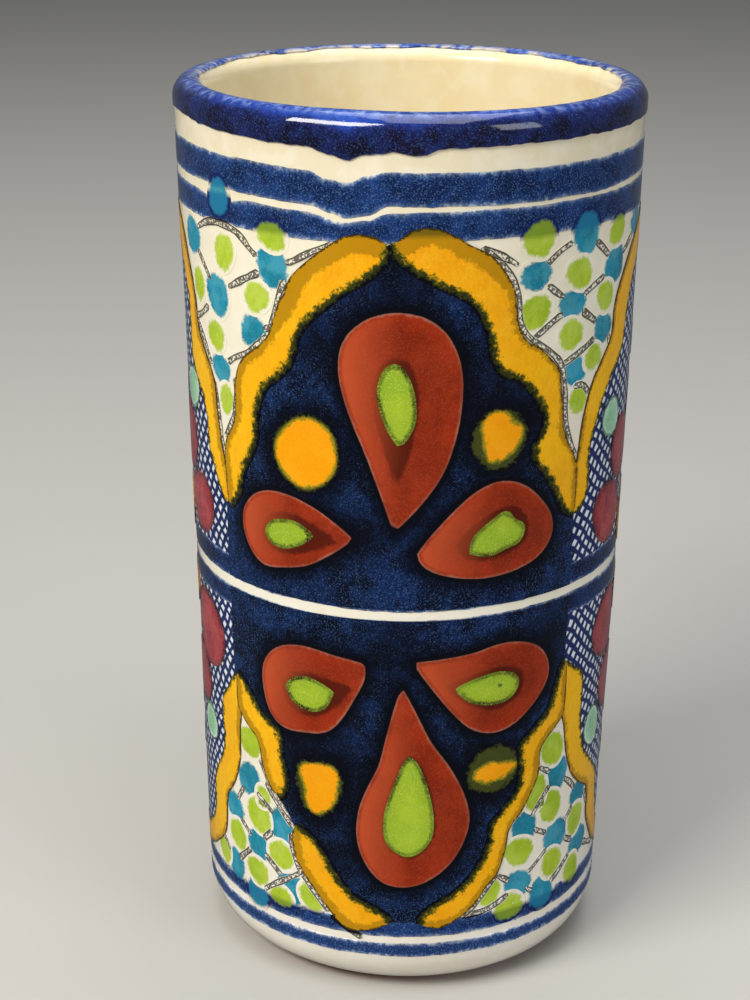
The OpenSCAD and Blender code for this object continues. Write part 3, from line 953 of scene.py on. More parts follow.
FRONT_ARMS = {
    "right_upper": (
        [(-1.4, 131.2), (0.6, 132.8), (3.4, 133.2), (6.2, 132.2), (9, 130.4), (12, 128.8),
         (14.4, 125.9), (15.8, 123.2), (16.4, 120), (17, 117), (18.6, 114.7), (20.6, 113.5),
         (22.7, 111.6), (24.8, 109.2), (25.4, 106), (25.9, 102.6), (26.3, 99.8), (27.4, 97),
         (29.0, 94.6), (30.0, 92), (30.2, 85.2)],
        [(-2.0, 130.2), (-0.6, 128.6), (2, 126.7), (5.5, 124.8), (8.5, 123.2), (10.7, 121.3),
         (12.2, 118.4), (13.2, 115.3), (13.7, 112.8), (15, 110.6), (17, 109.9), (19.2, 108.2),
         (21.2, 105.8), (22.8, 103), (23.3, 101.2), (22.4, 99), (21.1, 96.4), (22.8, 94),
         (24.4, 92), (26.2, 88.8), (27.8, 86.2), (29.3, 84.8)]),
    "left_upper": (
        [(-3.8, 131), (-5.4, 131.8), (-7.6, 131.9), (-9.6, 131.4), (-11.8, 130), (-14.4, 128),
         (-16.8, 125.8), (-18.3, 124), (-19.1, 121.9), (-20.2, 120.2), (-20.9, 118.3),
         (-21.7, 116), (-22.8, 114.1), (-24.6, 112.4), (-27.2, 110.5), (-28.9, 108.3),
         (-29.8, 105.1), (-29.8, 102.4), (-30, 100), (-30.9, 98), (-32.3, 96), (-33.1, 93.7),
         (-33, 90.5), (-32.7, 85.3)],
        [(-3.4, 129.6), (-4.5, 127.7), (-6.8, 125.6), (-9.1, 124.2), (-11.4, 122.4),
         (-13.6, 120.5), (-15.9, 118.3), (-17.3, 116.4), (-18, 114.6), (-18.6, 112.2),
         (-19.8, 110.1), (-21.8, 108.3), (-23.4, 106.9), (-25, 104.2), (-25.9, 100.5),
         (-26, 97.4), (-27.3, 94.4), (-28.6, 92.4), (-29.5, 89.6), (-30.4, 87.2), (-31.8, 85.2)]),
    "right_lower": (
        [(4.6, 14.0), (6.4, 13.6), (8.7, 14.4), (11.5, 16.1), (13.3, 17.9), (15.1, 20.4),
         (16.9, 22), (18, 24.7), (18.7, 27.5), (19, 29.7), (20.1, 31.5), (21.6, 32.9),
         (23.3, 35.6), (24.8, 38.4), (25.1, 40.4), (25.1, 42.9), (26, 44.7), (28.5, 46.6),
         (30.2, 48.2), (30.8, 51), (30.6, 57.4)],
        [(3.6, 15.2), (5.1, 16.8), (7.8, 18.4), (10.5, 20.2), (12.8, 22.5), (14.6, 25.2),
         (15.6, 27.6), (16.2, 29.7), (16.0, 31.4), (17.4, 32.9), (19.2, 34.7), (20.8, 36.5),
         (21.7, 38.8), (21.7, 40.4), (21.5, 42.9), (21.2, 44.8), (22.8, 46.5), (25.1, 48.3),
         (26.9, 49.7), (27.9, 51.6), (28.5, 53.8), (29.2, 55.6), (29.9, 57.6)]),
    "left_lower": (
        [(-23.6, 35.2), (-24.5, 35.9), (-25.6, 37.6), (-26.4, 39.8), (-26.8, 42), (-27.5, 44),
         (-29.1, 45.2), (-30.5, 46.2), (-31.6, 47.4), (-32.6, 49), (-32.6, 53.6)],
        [(-22.4, 35.1), (-21.6, 36.8), (-21.5, 38.4), (-21.9, 40.4), (-22.5, 42.6),
         (-22.4, 44.8), (-22.8, 46.6), (-24.2, 47.5), (-25.9, 48.4), (-27.7, 49.7),
         (-29.1, 51.2), (-30.4, 52.8), (-31.8, 54)]),
}
LOOSE_ARM = (
    [(-3, 14.2), (-4.3, 13.5), (-6.4, 12.9), (-9.1, 12.7), (-10.9, 13.8), (-12.7, 15.6),
     (-14.5, 17.9), (-16.8, 20.6), (-18.6, 22.9), (-19.6, 25.2), (-19.9, 28.2), (-19.6, 29.4)],
    [(-2.3, 15.2), (-5, 16.7), (-7.7, 17.9), (-10.5, 20.2), (-12.3, 22.5), (-13.6, 24.7),
     (-15, 27), (-16.8, 28.7), (-18.9, 29.6)])
NET_ARMS = {
    "right_upper": (
        [(29.2, 85.2), (29.6, 88), (30.1, 92.4), (30.5, 95.4), (30.9, 99), (31.8, 103),
         (33.2, 106), (35, 108.5), (37, 110.7), (38, 112.6), (38.2, 115.5), (38.9, 118.5),
         (41, 121.8), (43.5, 124.6), (46.4, 127), (50, 129.2), (56, 130.4)],
        [(30.4, 84.4), (31.6, 85), (33, 87), (33.4, 89.6), (33, 92.5), (33.5, 96), (34.9, 99.5),
         (36.5, 102.8), (39.5, 106.4), (42.2, 108.8), (43.1, 111), (43.5, 114.6), (45, 118.2),
         (47.8, 121.6), (51.2, 124.4), (56, 126)]),
    "left_upper": (
        [(-32.2, 85.6), (-32.7, 88.4), (-33.3, 91.2), (-34.1, 93.7), (-34.6, 96.2), (-35.2, 99.6),
         (-35.4, 102.4), (-35.9, 104.6), (-37.3, 106.9), (-39.1, 109.2), (-40.7, 111.5),
         (-41.4, 113.7), (-41.8, 116.5), (-42.7, 119.2), (-44.1, 121.9), (-45.6, 124.6),
         (-47.6, 127.4), (-50.4, 129.2), (-54.4, 130.1), (-59, 130.4)],
        [(-33.4, 84.9), (-35, 86.7), (-36.8, 90.1), (-38.1, 92.4), (-38.6, 94.4), (-38.5, 96.8),
         (-39.5, 100.1), (-41.4, 102.4), (-43.6, 104.6), (-44.8, 107), (-45, 110.1),
         (-44.9, 113), (-45.2, 115.8), (-46.3, 118.4), (-48.3, 121.2), (-51, 123.8),
         (-54.6, 125.4), (-59, 126)]),
    "right_lower": (
        [(29.8, 57.2), (30, 52), (30.4, 48.2), (31.2, 46), (31.7, 42.9), (32.4, 40.2),
         (33.7, 37), (35.5, 34.5), (38.3, 32.3), (40.7, 30.8), (41.5, 28.4), (41.6, 25.6),
         (42.4, 23.2), (44.2, 20.6), (46.2, 18.2), (49, 16.2), (52, 14.6), (56, 13.6)],
        [(30.6, 57.8), (32.4, 56.4), (34.4, 55), (35.8, 53.6), (36.1, 51.1), (36, 47.5),
         (36.3, 44.2), (36.9, 41.5), (38.3, 38.6), (40.5, 36.3), (42.8, 34.3), (45, 32),
         (46.4, 29.7), (47, 26.4), (48.4, 23.4), (50.8, 19.9), (56, 17.6)]),
    "left_lower": (
        [(-31.2, 53.2), (-31.6, 50), (-32, 46.5), (-32.4, 43.8), (-32.5, 40.6), (-32.9, 37.5),
         (-34.1, 34.3), (-35.9, 31.5), (-37.4, 29.7), (-38.1, 26.7), (-38.4, 23.8),
         (-39.2, 21.5), (-40.9, 19.6), (-43.2, 17.9), (-45.9, 16.2), (-50, 14.6), (-54.4, 13.8),
         (-59, 13.6)],
        [(-32, 54.2), (-34.1, 52.6), (-35.6, 50.4), (-37.4, 48.4), (-38, 45.6), (-37.8, 42.9),
         (-37.6, 40.4), (-38.2, 37.8), (-39.6, 35.2), (-41.6, 32.9), (-42.8, 30.8),
         (-43.2, 28.2), (-43.3, 25.6), (-44.3, 22.9), (-46.4, 20.6), (-49.3, 18.9), (-54, 17.9),
         (-59, 17.6)]),
}
# How far the smoke reaches past the far edge, over cobalt and over the net
HALO = 1.25
NET_HALO = 0.35
NARROW_EDGE_S = 131.2
# The back is the front turned half round, so what is right in front is left behind
FAR_SIDE = {
    "right_upper": "left_upper", "left_upper": "right_upper", "right_lower": "left_lower",
    "left_lower": "right_lower"}


def moved(points, turn):
    out = np.array(points, float)
    out[:, 0] += turn
    return out


def middle_of(arm):
    """Points down the middle of an arm, from the end to the point of the lattice."""
    lattice, far = (smooth(edge) for edge in arm)
    nearest = gaps_to(lattice, far, closed=False).argmin(1)
    return (lattice + far[nearest]) / 2


# How wide the mustard is above and below a height, as (above, height, below)
NET_MUSTARD = (0.9, 100, 0.9)
MUSTARD = {
    "left_upper": (2.6, 116, 1.5), "right_upper": (2.4, 124.5, 1.0), "left_lower": (1.2, 30, 1.4),
    "right_lower": (1.2, 30, 1.3)}


def border(arm, turn, kind, halo, mustard):
    """One arm of a border, with a halo outside its far edge."""
    above, height, below = mustard
    lattice, far = (moved(smooth(edge), turn) for edge in arm)
    outline = np.concatenate([lattice, far[::-1]])
    wide, narrow = grown(outline, halo), grown(outline, 0.15)
    outline = np.concatenate([narrow[:len(lattice)], wide[len(lattice):]])
    lattice_edge, far_edge = outline[:len(lattice)], outline[len(lattice):]
    return coat(
        outline, kind, round_off=0.6,
        lattice=lambda p: gaps_to(p, lattice_edge, closed=False).min(1),
        spread=lambda p: below + (above - below) * np.clip((p[:, 1] - height) / 4 + 0.5, 0, 1),
        far=lambda p: gaps_to(p, far_edge, closed=False).min(1) + HALO - halo,
        warm=lambda p: np.clip(1 - np.abs(p[:, 0] - turn) / 34, 0, 1),
        over=lambda p: np.clip(p[:, 1] - NARROW_EDGE_S, 0, 1))


def paint_borders(corner, end, turn):
    """The two arms that meet at the point of one lattice, and any loose one beside them."""
    node = f"{end}_{corner if end == 'front' else FAR_SIDE[corner]}_border"
    strokes = [
        ("panel", FRONT_ARMS[corner], "panel_border", HALO, MUSTARD[corner]),
        ("net", NET_ARMS[corner], "net_border", NET_HALO, NET_MUSTARD)]
    if corner == "left_lower":
        strokes.append(("loose", LOOSE_ARM, "panel_border", HALO, MUSTARD[corner]))
    for stroke, arm, kind, halo, mustard in strokes:
        finish_piece(
            border(arm, turn, kind, halo, mustard), f"{node}_{stroke}_stroke", "yellow", [node],
            yellow_ochre)


for corner in FRONT_ARMS:
    paint_borders(corner, "front", 0)
    paint_borders(corner, "back", HALF_TURN)


# ---- cobalt panels ----

RED_MARGIN = 0.75
HEART_MARGIN = 0.55
UPPER_DROP = pointed([
    (-1.8, 85), (-4, 91.5), (-6.4, 98), (-9, 104.5), (-10.4, 110.5), (-9.6, 115.5), (-6.2, 119),
    (-1.6, 120.3), (3, 119.3), (6.4, 116), (8.2, 110.5), (8, 103), (6, 95.5), (2.6, 90)])
UPPER_DROP_SHADE = pointed([
    (-1.6, 92.8), (-2.9, 98), (-4.5, 103.5), (-4.9, 107.5), (-4.1, 111), (-2.2, 112.9), (0.1, 112),
    (1.4, 108), (1.3, 103.4), (0.2, 98), (-0.8, 95)])
UPPER_DROP_HEART = pointed([
    (-1.1, 99.7), (-2.8, 102.6), (-4, 107), (-3.4, 110.4), (-2, 111.8), (-0.6, 110.8), (0.6, 107.5),
    (0.9, 103.5), (-0.2, 100.8)])
UPPER_LEFT_PETAL = pointed([
    (-8.2, 83.4), (-10.5, 85.3), (-14, 87.5), (-18, 89.0), (-22.5, 89.3), (-26.2, 87.8), (-28.6, 84.8),
    (-28.8, 81.4), (-27.2, 78.2), (-24.4, 76.3), (-20.4, 76.8), (-16, 78), (-12, 80.4)])
UPPER_LEFT_HEART = pointed([
    (-15.3, 83.1), (-17, 84.2), (-19.2, 84.6), (-22, 84), (-23.3, 82.4), (-22.4, 80.9), (-20, 80.6),
    (-17.4, 81.6)])
UPPER_LEFT_SHADE = pointed([
    (-11.2, 82.8), (-14.6, 84.6), (-18.6, 85.9), (-22.2, 85.3), (-24.2, 83), (-23.8, 80.7),
    (-21.2, 79.5), (-17.4, 80.1), (-14, 81.3)])
UPPER_RIGHT_PETAL = pointed([
    (1.8, 81.3), (4.2, 84.6), (8, 88.8), (11.4, 91.5), (15, 92.6), (19, 91.5), (22.5, 88.5),
    (24.9, 85), (25, 81.6), (22.5, 78.8), (18, 77.2), (12, 76.7), (6.4, 77.6), (3, 79.2)])
UPPER_RIGHT_HEART = pointed([
    (10.6, 81.4), (11.2, 83.6), (13.6, 85.6), (16, 87), (17.4, 85.6), (19.1, 84.4), (18.4, 82.4),
    (16.6, 81.8), (13.4, 80.8)])
UPPER_RIGHT_SHADE = pointed([
    (8.2, 82.9), (11, 85.4), (15, 87.7), (18.2, 87.4), (20, 85), (19.6, 82.3), (17, 80.8),
    (12.4, 80), (9.4, 81)])
LOWER_LEFT_PETAL = pointed([
    (-6.4, 62.2), (-6.4, 59.5), (-8, 56), (-10.5, 51.6), (-13.2, 49), (-17, 48.2), (-21, 48),
    (-23.8, 49.6), (-25.3, 53), (-25.6, 57), (-24.5, 60), (-21.5, 62.6), (-17, 63.7), (-11.5, 63)])
LOWER_LEFT_HEART = pointed([
    (-12.1, 56.3), (-14, 57.2), (-16.2, 57.8), (-18.6, 57.3), (-20, 55.6), (-18.4, 53.4),
    (-15.6, 52.8), (-13.4, 53.8)])
LOWER_LEFT_SHADE = pointed([
    (-8.6, 57.6), (-12.6, 58.2), (-16.4, 58.8), (-19.4, 57.9), (-21.1, 55.6), (-20.2, 53.2),
    (-17.6, 51.8), (-14, 52.2), (-11.2, 54.6)])
LOWER_RIGHT_PETAL = pointed([
    (1.5, 62.7), (3, 60.3), (5, 57.5), (8, 53.6), (11.2, 50.4), (15, 49), (19, 49.7), (23, 52.5),
    (25.8, 56), (25.9, 59.3), (24, 62.3), (20.4, 64.2), (16, 64.7), (11, 63.7), (6, 63.1)])
LOWER_RIGHT_HEART = pointed([
    (9, 57.6), (12, 58.7), (16, 59.3), (18.8, 58.4), (19.2, 56.6), (17.4, 54.9), (14, 54.7),
    (11, 55.7)])
LOWER_RIGHT_SHADE = pointed([
    (7.2, 58.2), (11, 59.4), (15.4, 60.3), (19, 59.8), (20.6, 57.5), (19.4, 54.9), (16, 53.5),
    (12, 54.4), (9, 56.3)])
LOWER_DROP = pointed([
    (-0.3, 58.5), (2, 53.8), (4.6, 48.4), (7.6, 44), (10.2, 39), (11.5, 34), (10.6, 29.6),
    (8, 25.4), (4, 22.5), (0, 21.6), (-3.6, 22.6), (-6.4, 26), (-7.7, 30.4), (-7.4, 35.4),
    (-5.8, 40), (-4, 44), (-2.8, 49), (-1.6, 54)])
LOWER_DROP_HEART = pointed([
    (1.1, 45.4), (-0.1, 43), (-1.8, 38), (-2.7, 33.5), (-2, 29.8), (0.7, 27.9), (3.2, 28.9),
    (4.7, 31.6), (4.6, 36), (3.4, 41), (2.1, 44.2)])
LOWER_DROP_SHADE = grown(LOWER_DROP_HEART, 0.5)
SPECK = (16.2, 57.4, 0.85, 0.7)
SPECK_IN = ("lower", "_right")
UPPER_LEFT_SPOT = smooth([
    (-10.2, 97), (-11.2, 101.1), (-15, 103.4), (-18.6, 102.4), (-21.8, 98.9), (-22.2, 95.2),
    (-20.1, 91.8), (-16.4, 90.1), (-12.4, 91.5), (-10.4, 94.5)], closed=True)
UPPER_LEFT_CORE = smooth([
    (-11, 97), (-12, 100.5), (-15, 102.3), (-18, 101.5), (-20.7, 98.5), (-21.2, 95.5),
    (-19.5, 92.8), (-16.5, 91.2), (-13, 92.5), (-11.2, 95)], closed=True)
UPPER_RIGHT_SPOT = smooth([
    (9.6, 99.6), (10.5, 102.4), (12.8, 104.6), (16, 104.6), (18.7, 102.4), (19.6, 99.6),
    (18.5, 96.9), (16.9, 94.8), (14.2, 94.2), (11.6, 95.4), (10.1, 97.4)], closed=True)
UPPER_RIGHT_CORE = smooth([
    (11.9, 102.6), (13.3, 104), (15.3, 103.8), (16.5, 102.1), (18.3, 101), (18, 99.2),
    (16.7, 97.4), (14.6, 96.3), (13, 96.6), (12.1, 99.6)], closed=True)
LOWER_LEFT_SPOT = smooth([
    (-19.2, 40.2), (-18.4, 42.7), (-15, 43.6), (-11.2, 43.3), (-9.9, 40.6), (-10.2, 37.5),
    (-12.1, 34.2), (-14.5, 32.8), (-17, 33.6), (-18.7, 36.5)], closed=True)
LOWER_LEFT_CORE = smooth([
    (-18, 40.6), (-17.3, 42.2), (-15, 42.7), (-12.3, 42.7), (-11.1, 41.1), (-11.4, 39.3),
    (-11.8, 36.5), (-13.6, 34.4), (-15.7, 33.7), (-16.8, 35.6), (-17, 38.4)], closed=True)
LOWER_RIGHT_SPOT = smooth([
    (10.6, 40.4), (10.8, 42.7), (11.9, 45.2), (15.1, 47), (18.3, 46.3), (20.3, 44.3), (21, 42),
    (20.1, 39.7), (17.4, 37.9), (14.2, 37.9), (11.7, 38.7)], closed=True)
LOWER_RIGHT_CORE = smooth([
    (12.4, 41.2), (13.3, 42.6), (15.5, 43.2), (17.8, 42.8), (19.9, 42.3), (18.7, 41.1),
    (16.5, 40.3), (14.2, 40.2)], closed=True)

PANELS = {
    "upper": {
        "teardrop": [(UPPER_DROP, UPPER_DROP_HEART, UPPER_DROP_SHADE, "")],
        "petals": [(UPPER_LEFT_PETAL, UPPER_LEFT_HEART, UPPER_LEFT_SHADE, "_left"),
                   (UPPER_RIGHT_PETAL, UPPER_RIGHT_HEART, UPPER_RIGHT_SHADE, "_right")],
        "spots": [(UPPER_LEFT_SPOT, UPPER_LEFT_CORE, "_left"),
                  (UPPER_RIGHT_SPOT, UPPER_RIGHT_CORE, "_right")],
        "foot_line": [(-33.4, 71.8), (30.2, 71.8)],
        "arms": ("left_upper", "right_upper"),
        "dark": [(14, 110, 9), (-2, 125, 8), (-8, 84, 6), (22, 104, 5), (6, 84, 6), (-14, 115, 5)],
    },
    "lower": {
        "teardrop": [(LOWER_DROP, LOWER_DROP_HEART, LOWER_DROP_SHADE, "")],
        "petals": [(LOWER_LEFT_PETAL, LOWER_LEFT_HEART, LOWER_LEFT_SHADE, "_left"),
                   (LOWER_RIGHT_PETAL, LOWER_RIGHT_HEART, LOWER_RIGHT_SHADE, "_right")],
        "spots": [(LOWER_LEFT_SPOT, LOWER_LEFT_CORE, "_left"),
                  (LOWER_RIGHT_SPOT, LOWER_RIGHT_CORE, "_right")],
        "foot_line": [(-33.4, 69.9), (30.2, 69.9)],
        "arms": ("left_lower", "right_lower"),
        "dark": [(-18, 46, 6), (-10, 44, 6), (10, 40, 6), (-12, 26, 6), (26, 64, 5), (-2, 65, 6)],
    },
}


def panel_outline(panel):
    """From the waist line round the middles of the two yellow borders."""
    left, right = panel["arms"]
    left_edge = middle_of(FRONT_ARMS[left])
    if left == "left_lower":
        left_edge = np.concatenate([middle_of(LOOSE_ARM), left_edge])
    right_edge = middle_of(FRONT_ARMS[right])
    waist_left, waist_right = panel["foot_line"]
    return np.concatenate([
        [waist_left, waist_right, (waist_right[0], right_edge[-1, 1])],
        right_edge[::-1], left_edge,
        [(waist_left[0], left_edge[-1, 1])]])


def pools(spots, turn):
    """Dark pools in the wash, each (u, s, size)."""
    def depth(p):
        out = np.zeros(len(p))
        for u, s, size in spots:
            away = (p[:, 0] - u - turn) ** 2 + (p[:, 1] - s) ** 2
            out = np.maximum(out, 0.75 * np.exp(-away / size ** 2))
        return out

    return depth


def painted_light_on(outline):
    """A painted highlight: paler on the upper left side of a petal."""
    low, high = np.min(outline, 0), np.max(outline, 0)

    def lit_side(p):
        across, up = ((p - low) / (high - low)).T
        return np.clip(0.85 - 1.5 * across - 0.3 * np.abs(up - 0.6), 0, 0.75)

    return lit_side


def paint_red(name, node, outline, shade):
    finish_piece(
        coat(grown(outline, RED_MARGIN), "red", grid=1.1, heart=lambda p: gap_outside(p, shade),
             light=painted_light_on(outline)),
        name, "red", [node], red_earth)


def paint_heart(name, node, heart, specks):
    hearts = [coat(grown(heart, HEART_MARGIN), "heart", grid=1.2)]
    hearts += [coat(speck, "speck", round_off=0.15) for speck in specks]
    finish_piece(joined(hearts), name, "green", [node], green_heart)


def paint_spot(name, node, outline, core):
    finish_piece(
        coat(outline, "spot", round_off=0.6, grid=0.9, core=lambda p: gap_outside(p, core)),
        name, "orange", [node], smoked_yellow)


def paint_panel(end, storey, turn):
    panel = PANELS[storey]
    reds = panel["teardrop"] + panel["petals"]
    motifs = [moved(r[0], turn) for r in reds] + [moved(s[0], turn) for s in panel["spots"]]
    name = f"{end}_{storey}"
    finish_piece(
        coat(moved(panel_outline(panel), turn), "panel",
             near=lambda p: np.min([gaps_to(p, m).min(1) for m in motifs], 0),
             dark=pools(panel["dark"], turn)),
        f"{name}_cobalt_panel", "cobalt", [f"{name}_ground"], field_cobalt)
    for kind, red_name in (("teardrop", "red_teardrop"), ("petals", "red_petal")):
        for outline, heart, shade, side in panel[kind]:
            outline, heart, shade = (moved(o, turn) for o in (outline, heart, shade))
            specks = [moved(oval(*SPECK), turn)] if (storey, side) == SPECK_IN else []
            paint_red(f"{name}_{red_name}{side}", f"{name}_{kind}", outline, shade)
            paint_heart(
                f"{name}_green_heart{side or '_middle'}", f"{name}_hearts", heart, specks)
    for outline, core, side in panel["spots"]:
        paint_spot(
            f"{name}_yellow_spot{side}", f"{storey}_yellow_spots", moved(outline, turn),
            moved(core, turn))


for storey in PANELS:
    paint_panel("front", storey, 0)
    paint_panel("back", storey, HALF_TURN)


# ---- net panels and their half-flowers ----
# Petals and dots as (u, s, width, height, tilt) round the right-hand net.

FLOWER_GRID = 1.4
NETS = {
    "upper": {
        "waist": 75.4,
        "petals": [(41.8, 81.3, 12.8, 10.4, -10), (47.2, 91.2, 11, 12, 30), (56, 95.8, 10.8, 12.6, 0),
                   (65, 91.6, 11, 12, -30), (71.2, 81.6, 11.6, 11, 10)],
        "centre": (56, 77.6, 15, 11, 0),
        "mint": [(40.2, 98, 6.6, 7, 0), (69.6, 101, 7, 7.4, 0), (55.6, 108, 6.4, 6.8, 0)],
    },
    "lower": {
        "waist": 66.6,
        "petals": [(45.3, 60, 12.2, 13.4, -20), (49.6, 48.6, 11, 12, -40), (57.4, 44.6, 11, 12.4, 0),
                   (65.4, 48.6, 11, 12, 40), (71.8, 58.8, 13, 14.4, 20)],
        "centre": (57.4, 63.2, 14, 9.5, 0),
        "mint": [(41.4, 42, 7, 7.6, 0), (70.6, 40.6, 7, 7, 0), (57, 33.5, 6.4, 6.6, 0)],
    },
}


def net_outline(storey):
    """From the waist round the middles of the two borders that meet over the net."""
    near = middle_of(NET_ARMS[f"right_{storey}"])
    far = moved(middle_of(NET_ARMS[f"left_{storey}"]), HALF_TURN)
    waist = NETS[storey]["waist"]
    return np.concatenate([
        [(near[0, 0], waist)], near, far[::-1][1:], [(far[0, 0], waist)]])


def paint_net(side, storey, turn):
    net = NETS[storey]
    name = f"{side}_{storey}"
    petals, mints = ([moved(oval(*o), turn) for o in net[kind]] for kind in ("petals", "mint"))
    centre = moved(oval(*net["centre"]), turn)
    shapes = petals + mints + [centre]
    finish_piece(
        coat(moved(net_outline(storey), turn), "net",
             near=lambda p: np.min([gaps_to(p, s).min(1) for s in shapes], 0)),
        f"{name}_crosshatched_net", "net", [f"{name}_net"], navy_net)
    for k, petal in enumerate(petals):
        finish_piece(
            coat(petal, "next_petal" if k % 2 else "petal", round_off=0.5, grid=FLOWER_GRID),
            f"{name}_flower_petal_{k + 1}", "crimson", [f"{side}_flower_petals"], crimson_brush)
    finish_piece(
        coat(centre, "centre", grid=FLOWER_GRID),
        f"{name}_flower_centre", "orange", ["flower_centres"], orange_centre)
    finish_piece(
        joined([coat(m, "mint", round_off=0.5, grid=FLOWER_GRID) for m in mints]),
        f"{name}_mint_dots", "mint", ["mint_dots"], mint_wash)


for storey in NETS:
    paint_net("right", storey, 0)
    paint_net("left", storey, -HALF_TURN)


# ---- lattices ----
# Dots as (u, s, width, height), and sketched lines through (u, s) points.

LIME_DOTS = {
    "right_upper": [
        (20, 130.6, 5.2, 6), (28.2, 124.2, 5.6, 5), (19.8, 119.3, 5.2, 5.6), (27, 114.6, 4.8, 5.4),
        (37.8, 129.2, 5.2, 4.6), (35.1, 119.3, 5, 4.8), (32.8, 109.8, 4.2, 4.4),
        (29.5, 103.5, 4.4, 4.6)],
    "left_upper": [
        (-21.4, 130.4, 5.4, 4.2), (-31.7, 126.3, 5, 5.8), (-39.9, 119.5, 4.2, 5.2),
        (-24.6, 120.4, 4.8, 5), (-34.8, 112.2, 4.8, 4.8), (-32.4, 102.2, 4, 4.8)],
    "right_lower": [
        (28.5, 42.5, 5.4, 5.2), (24.9, 35.4, 4.6, 5.8), (28.7, 31.6, 5.4, 5.2),
        (21.6, 25.2, 5.6, 4.6), (37, 26, 5.2, 4.6), (29.8, 20.4, 5.4, 4.2), (15.3, 19.2, 4.6, 5),
        (19.9, 15.2, 5, 4.2), (36.3, 16.6, 5, 4)],
    "left_lower": [
        (-29.8, 42.5, 5.2, 4.8), (-26.6, 33.2, 3.4, 2.8), (-27.9, 29.3, 5.6, 5.6),
        (-34.4, 23, 5, 4.6), (-22.8, 23.4, 4.8, 4.6), (-28.7, 18.2, 5.2, 4.2), (-40, 17.8, 5, 4),
        (-23, 15.4, 4.6, 3), (-16.3, 17.5, 4.4, 4.8)],
}
TURQUOISE_DOTS = {
    "right_upper": [
        (29.3, 130.3, 6, 6.4), (19.7, 125, 5.2, 5), (37.6, 123.8, 6.4, 6.2), (27, 119.5, 5.6, 5),
        (35, 114.2, 5.4, 5), (28.6, 108.5, 5.4, 4.8), (46.5, 129, 6, 5)],
    "left_upper": [
        (-32.5, 134.8, 5, 5.6), (-41.8, 127, 5.8, 6.2), (-21.4, 125.6, 6, 6.4),
        (-34, 119, 6.4, 6.6), (-25.6, 114.9, 5.4, 5), (-33.6, 107, 5.6, 4.6)],
    "right_lower": [
        (30, 37.2, 6, 5.4), (37.5, 30.7, 5.6, 4.8), (22.6, 29.5, 5.2, 5), (30.6, 25.2, 6.4, 5.4),
        (38.6, 21, 6.4, 5), (21.6, 18.9, 5.4, 4.8), (27.3, 15.6, 5.4, 5.6)],
    "left_lower": [
        (-30.3, 35.2, 5.4, 6), (-22.6, 29, 5.2, 6), (-35.2, 28.2, 5.2, 4.6), (-28.4, 23.4, 5, 5),
        (-35.6, 17, 5.4, 4.8), (-20.8, 17.6, 5.8, 5), (-29, 13.8, 4.8, 4.6)],
}
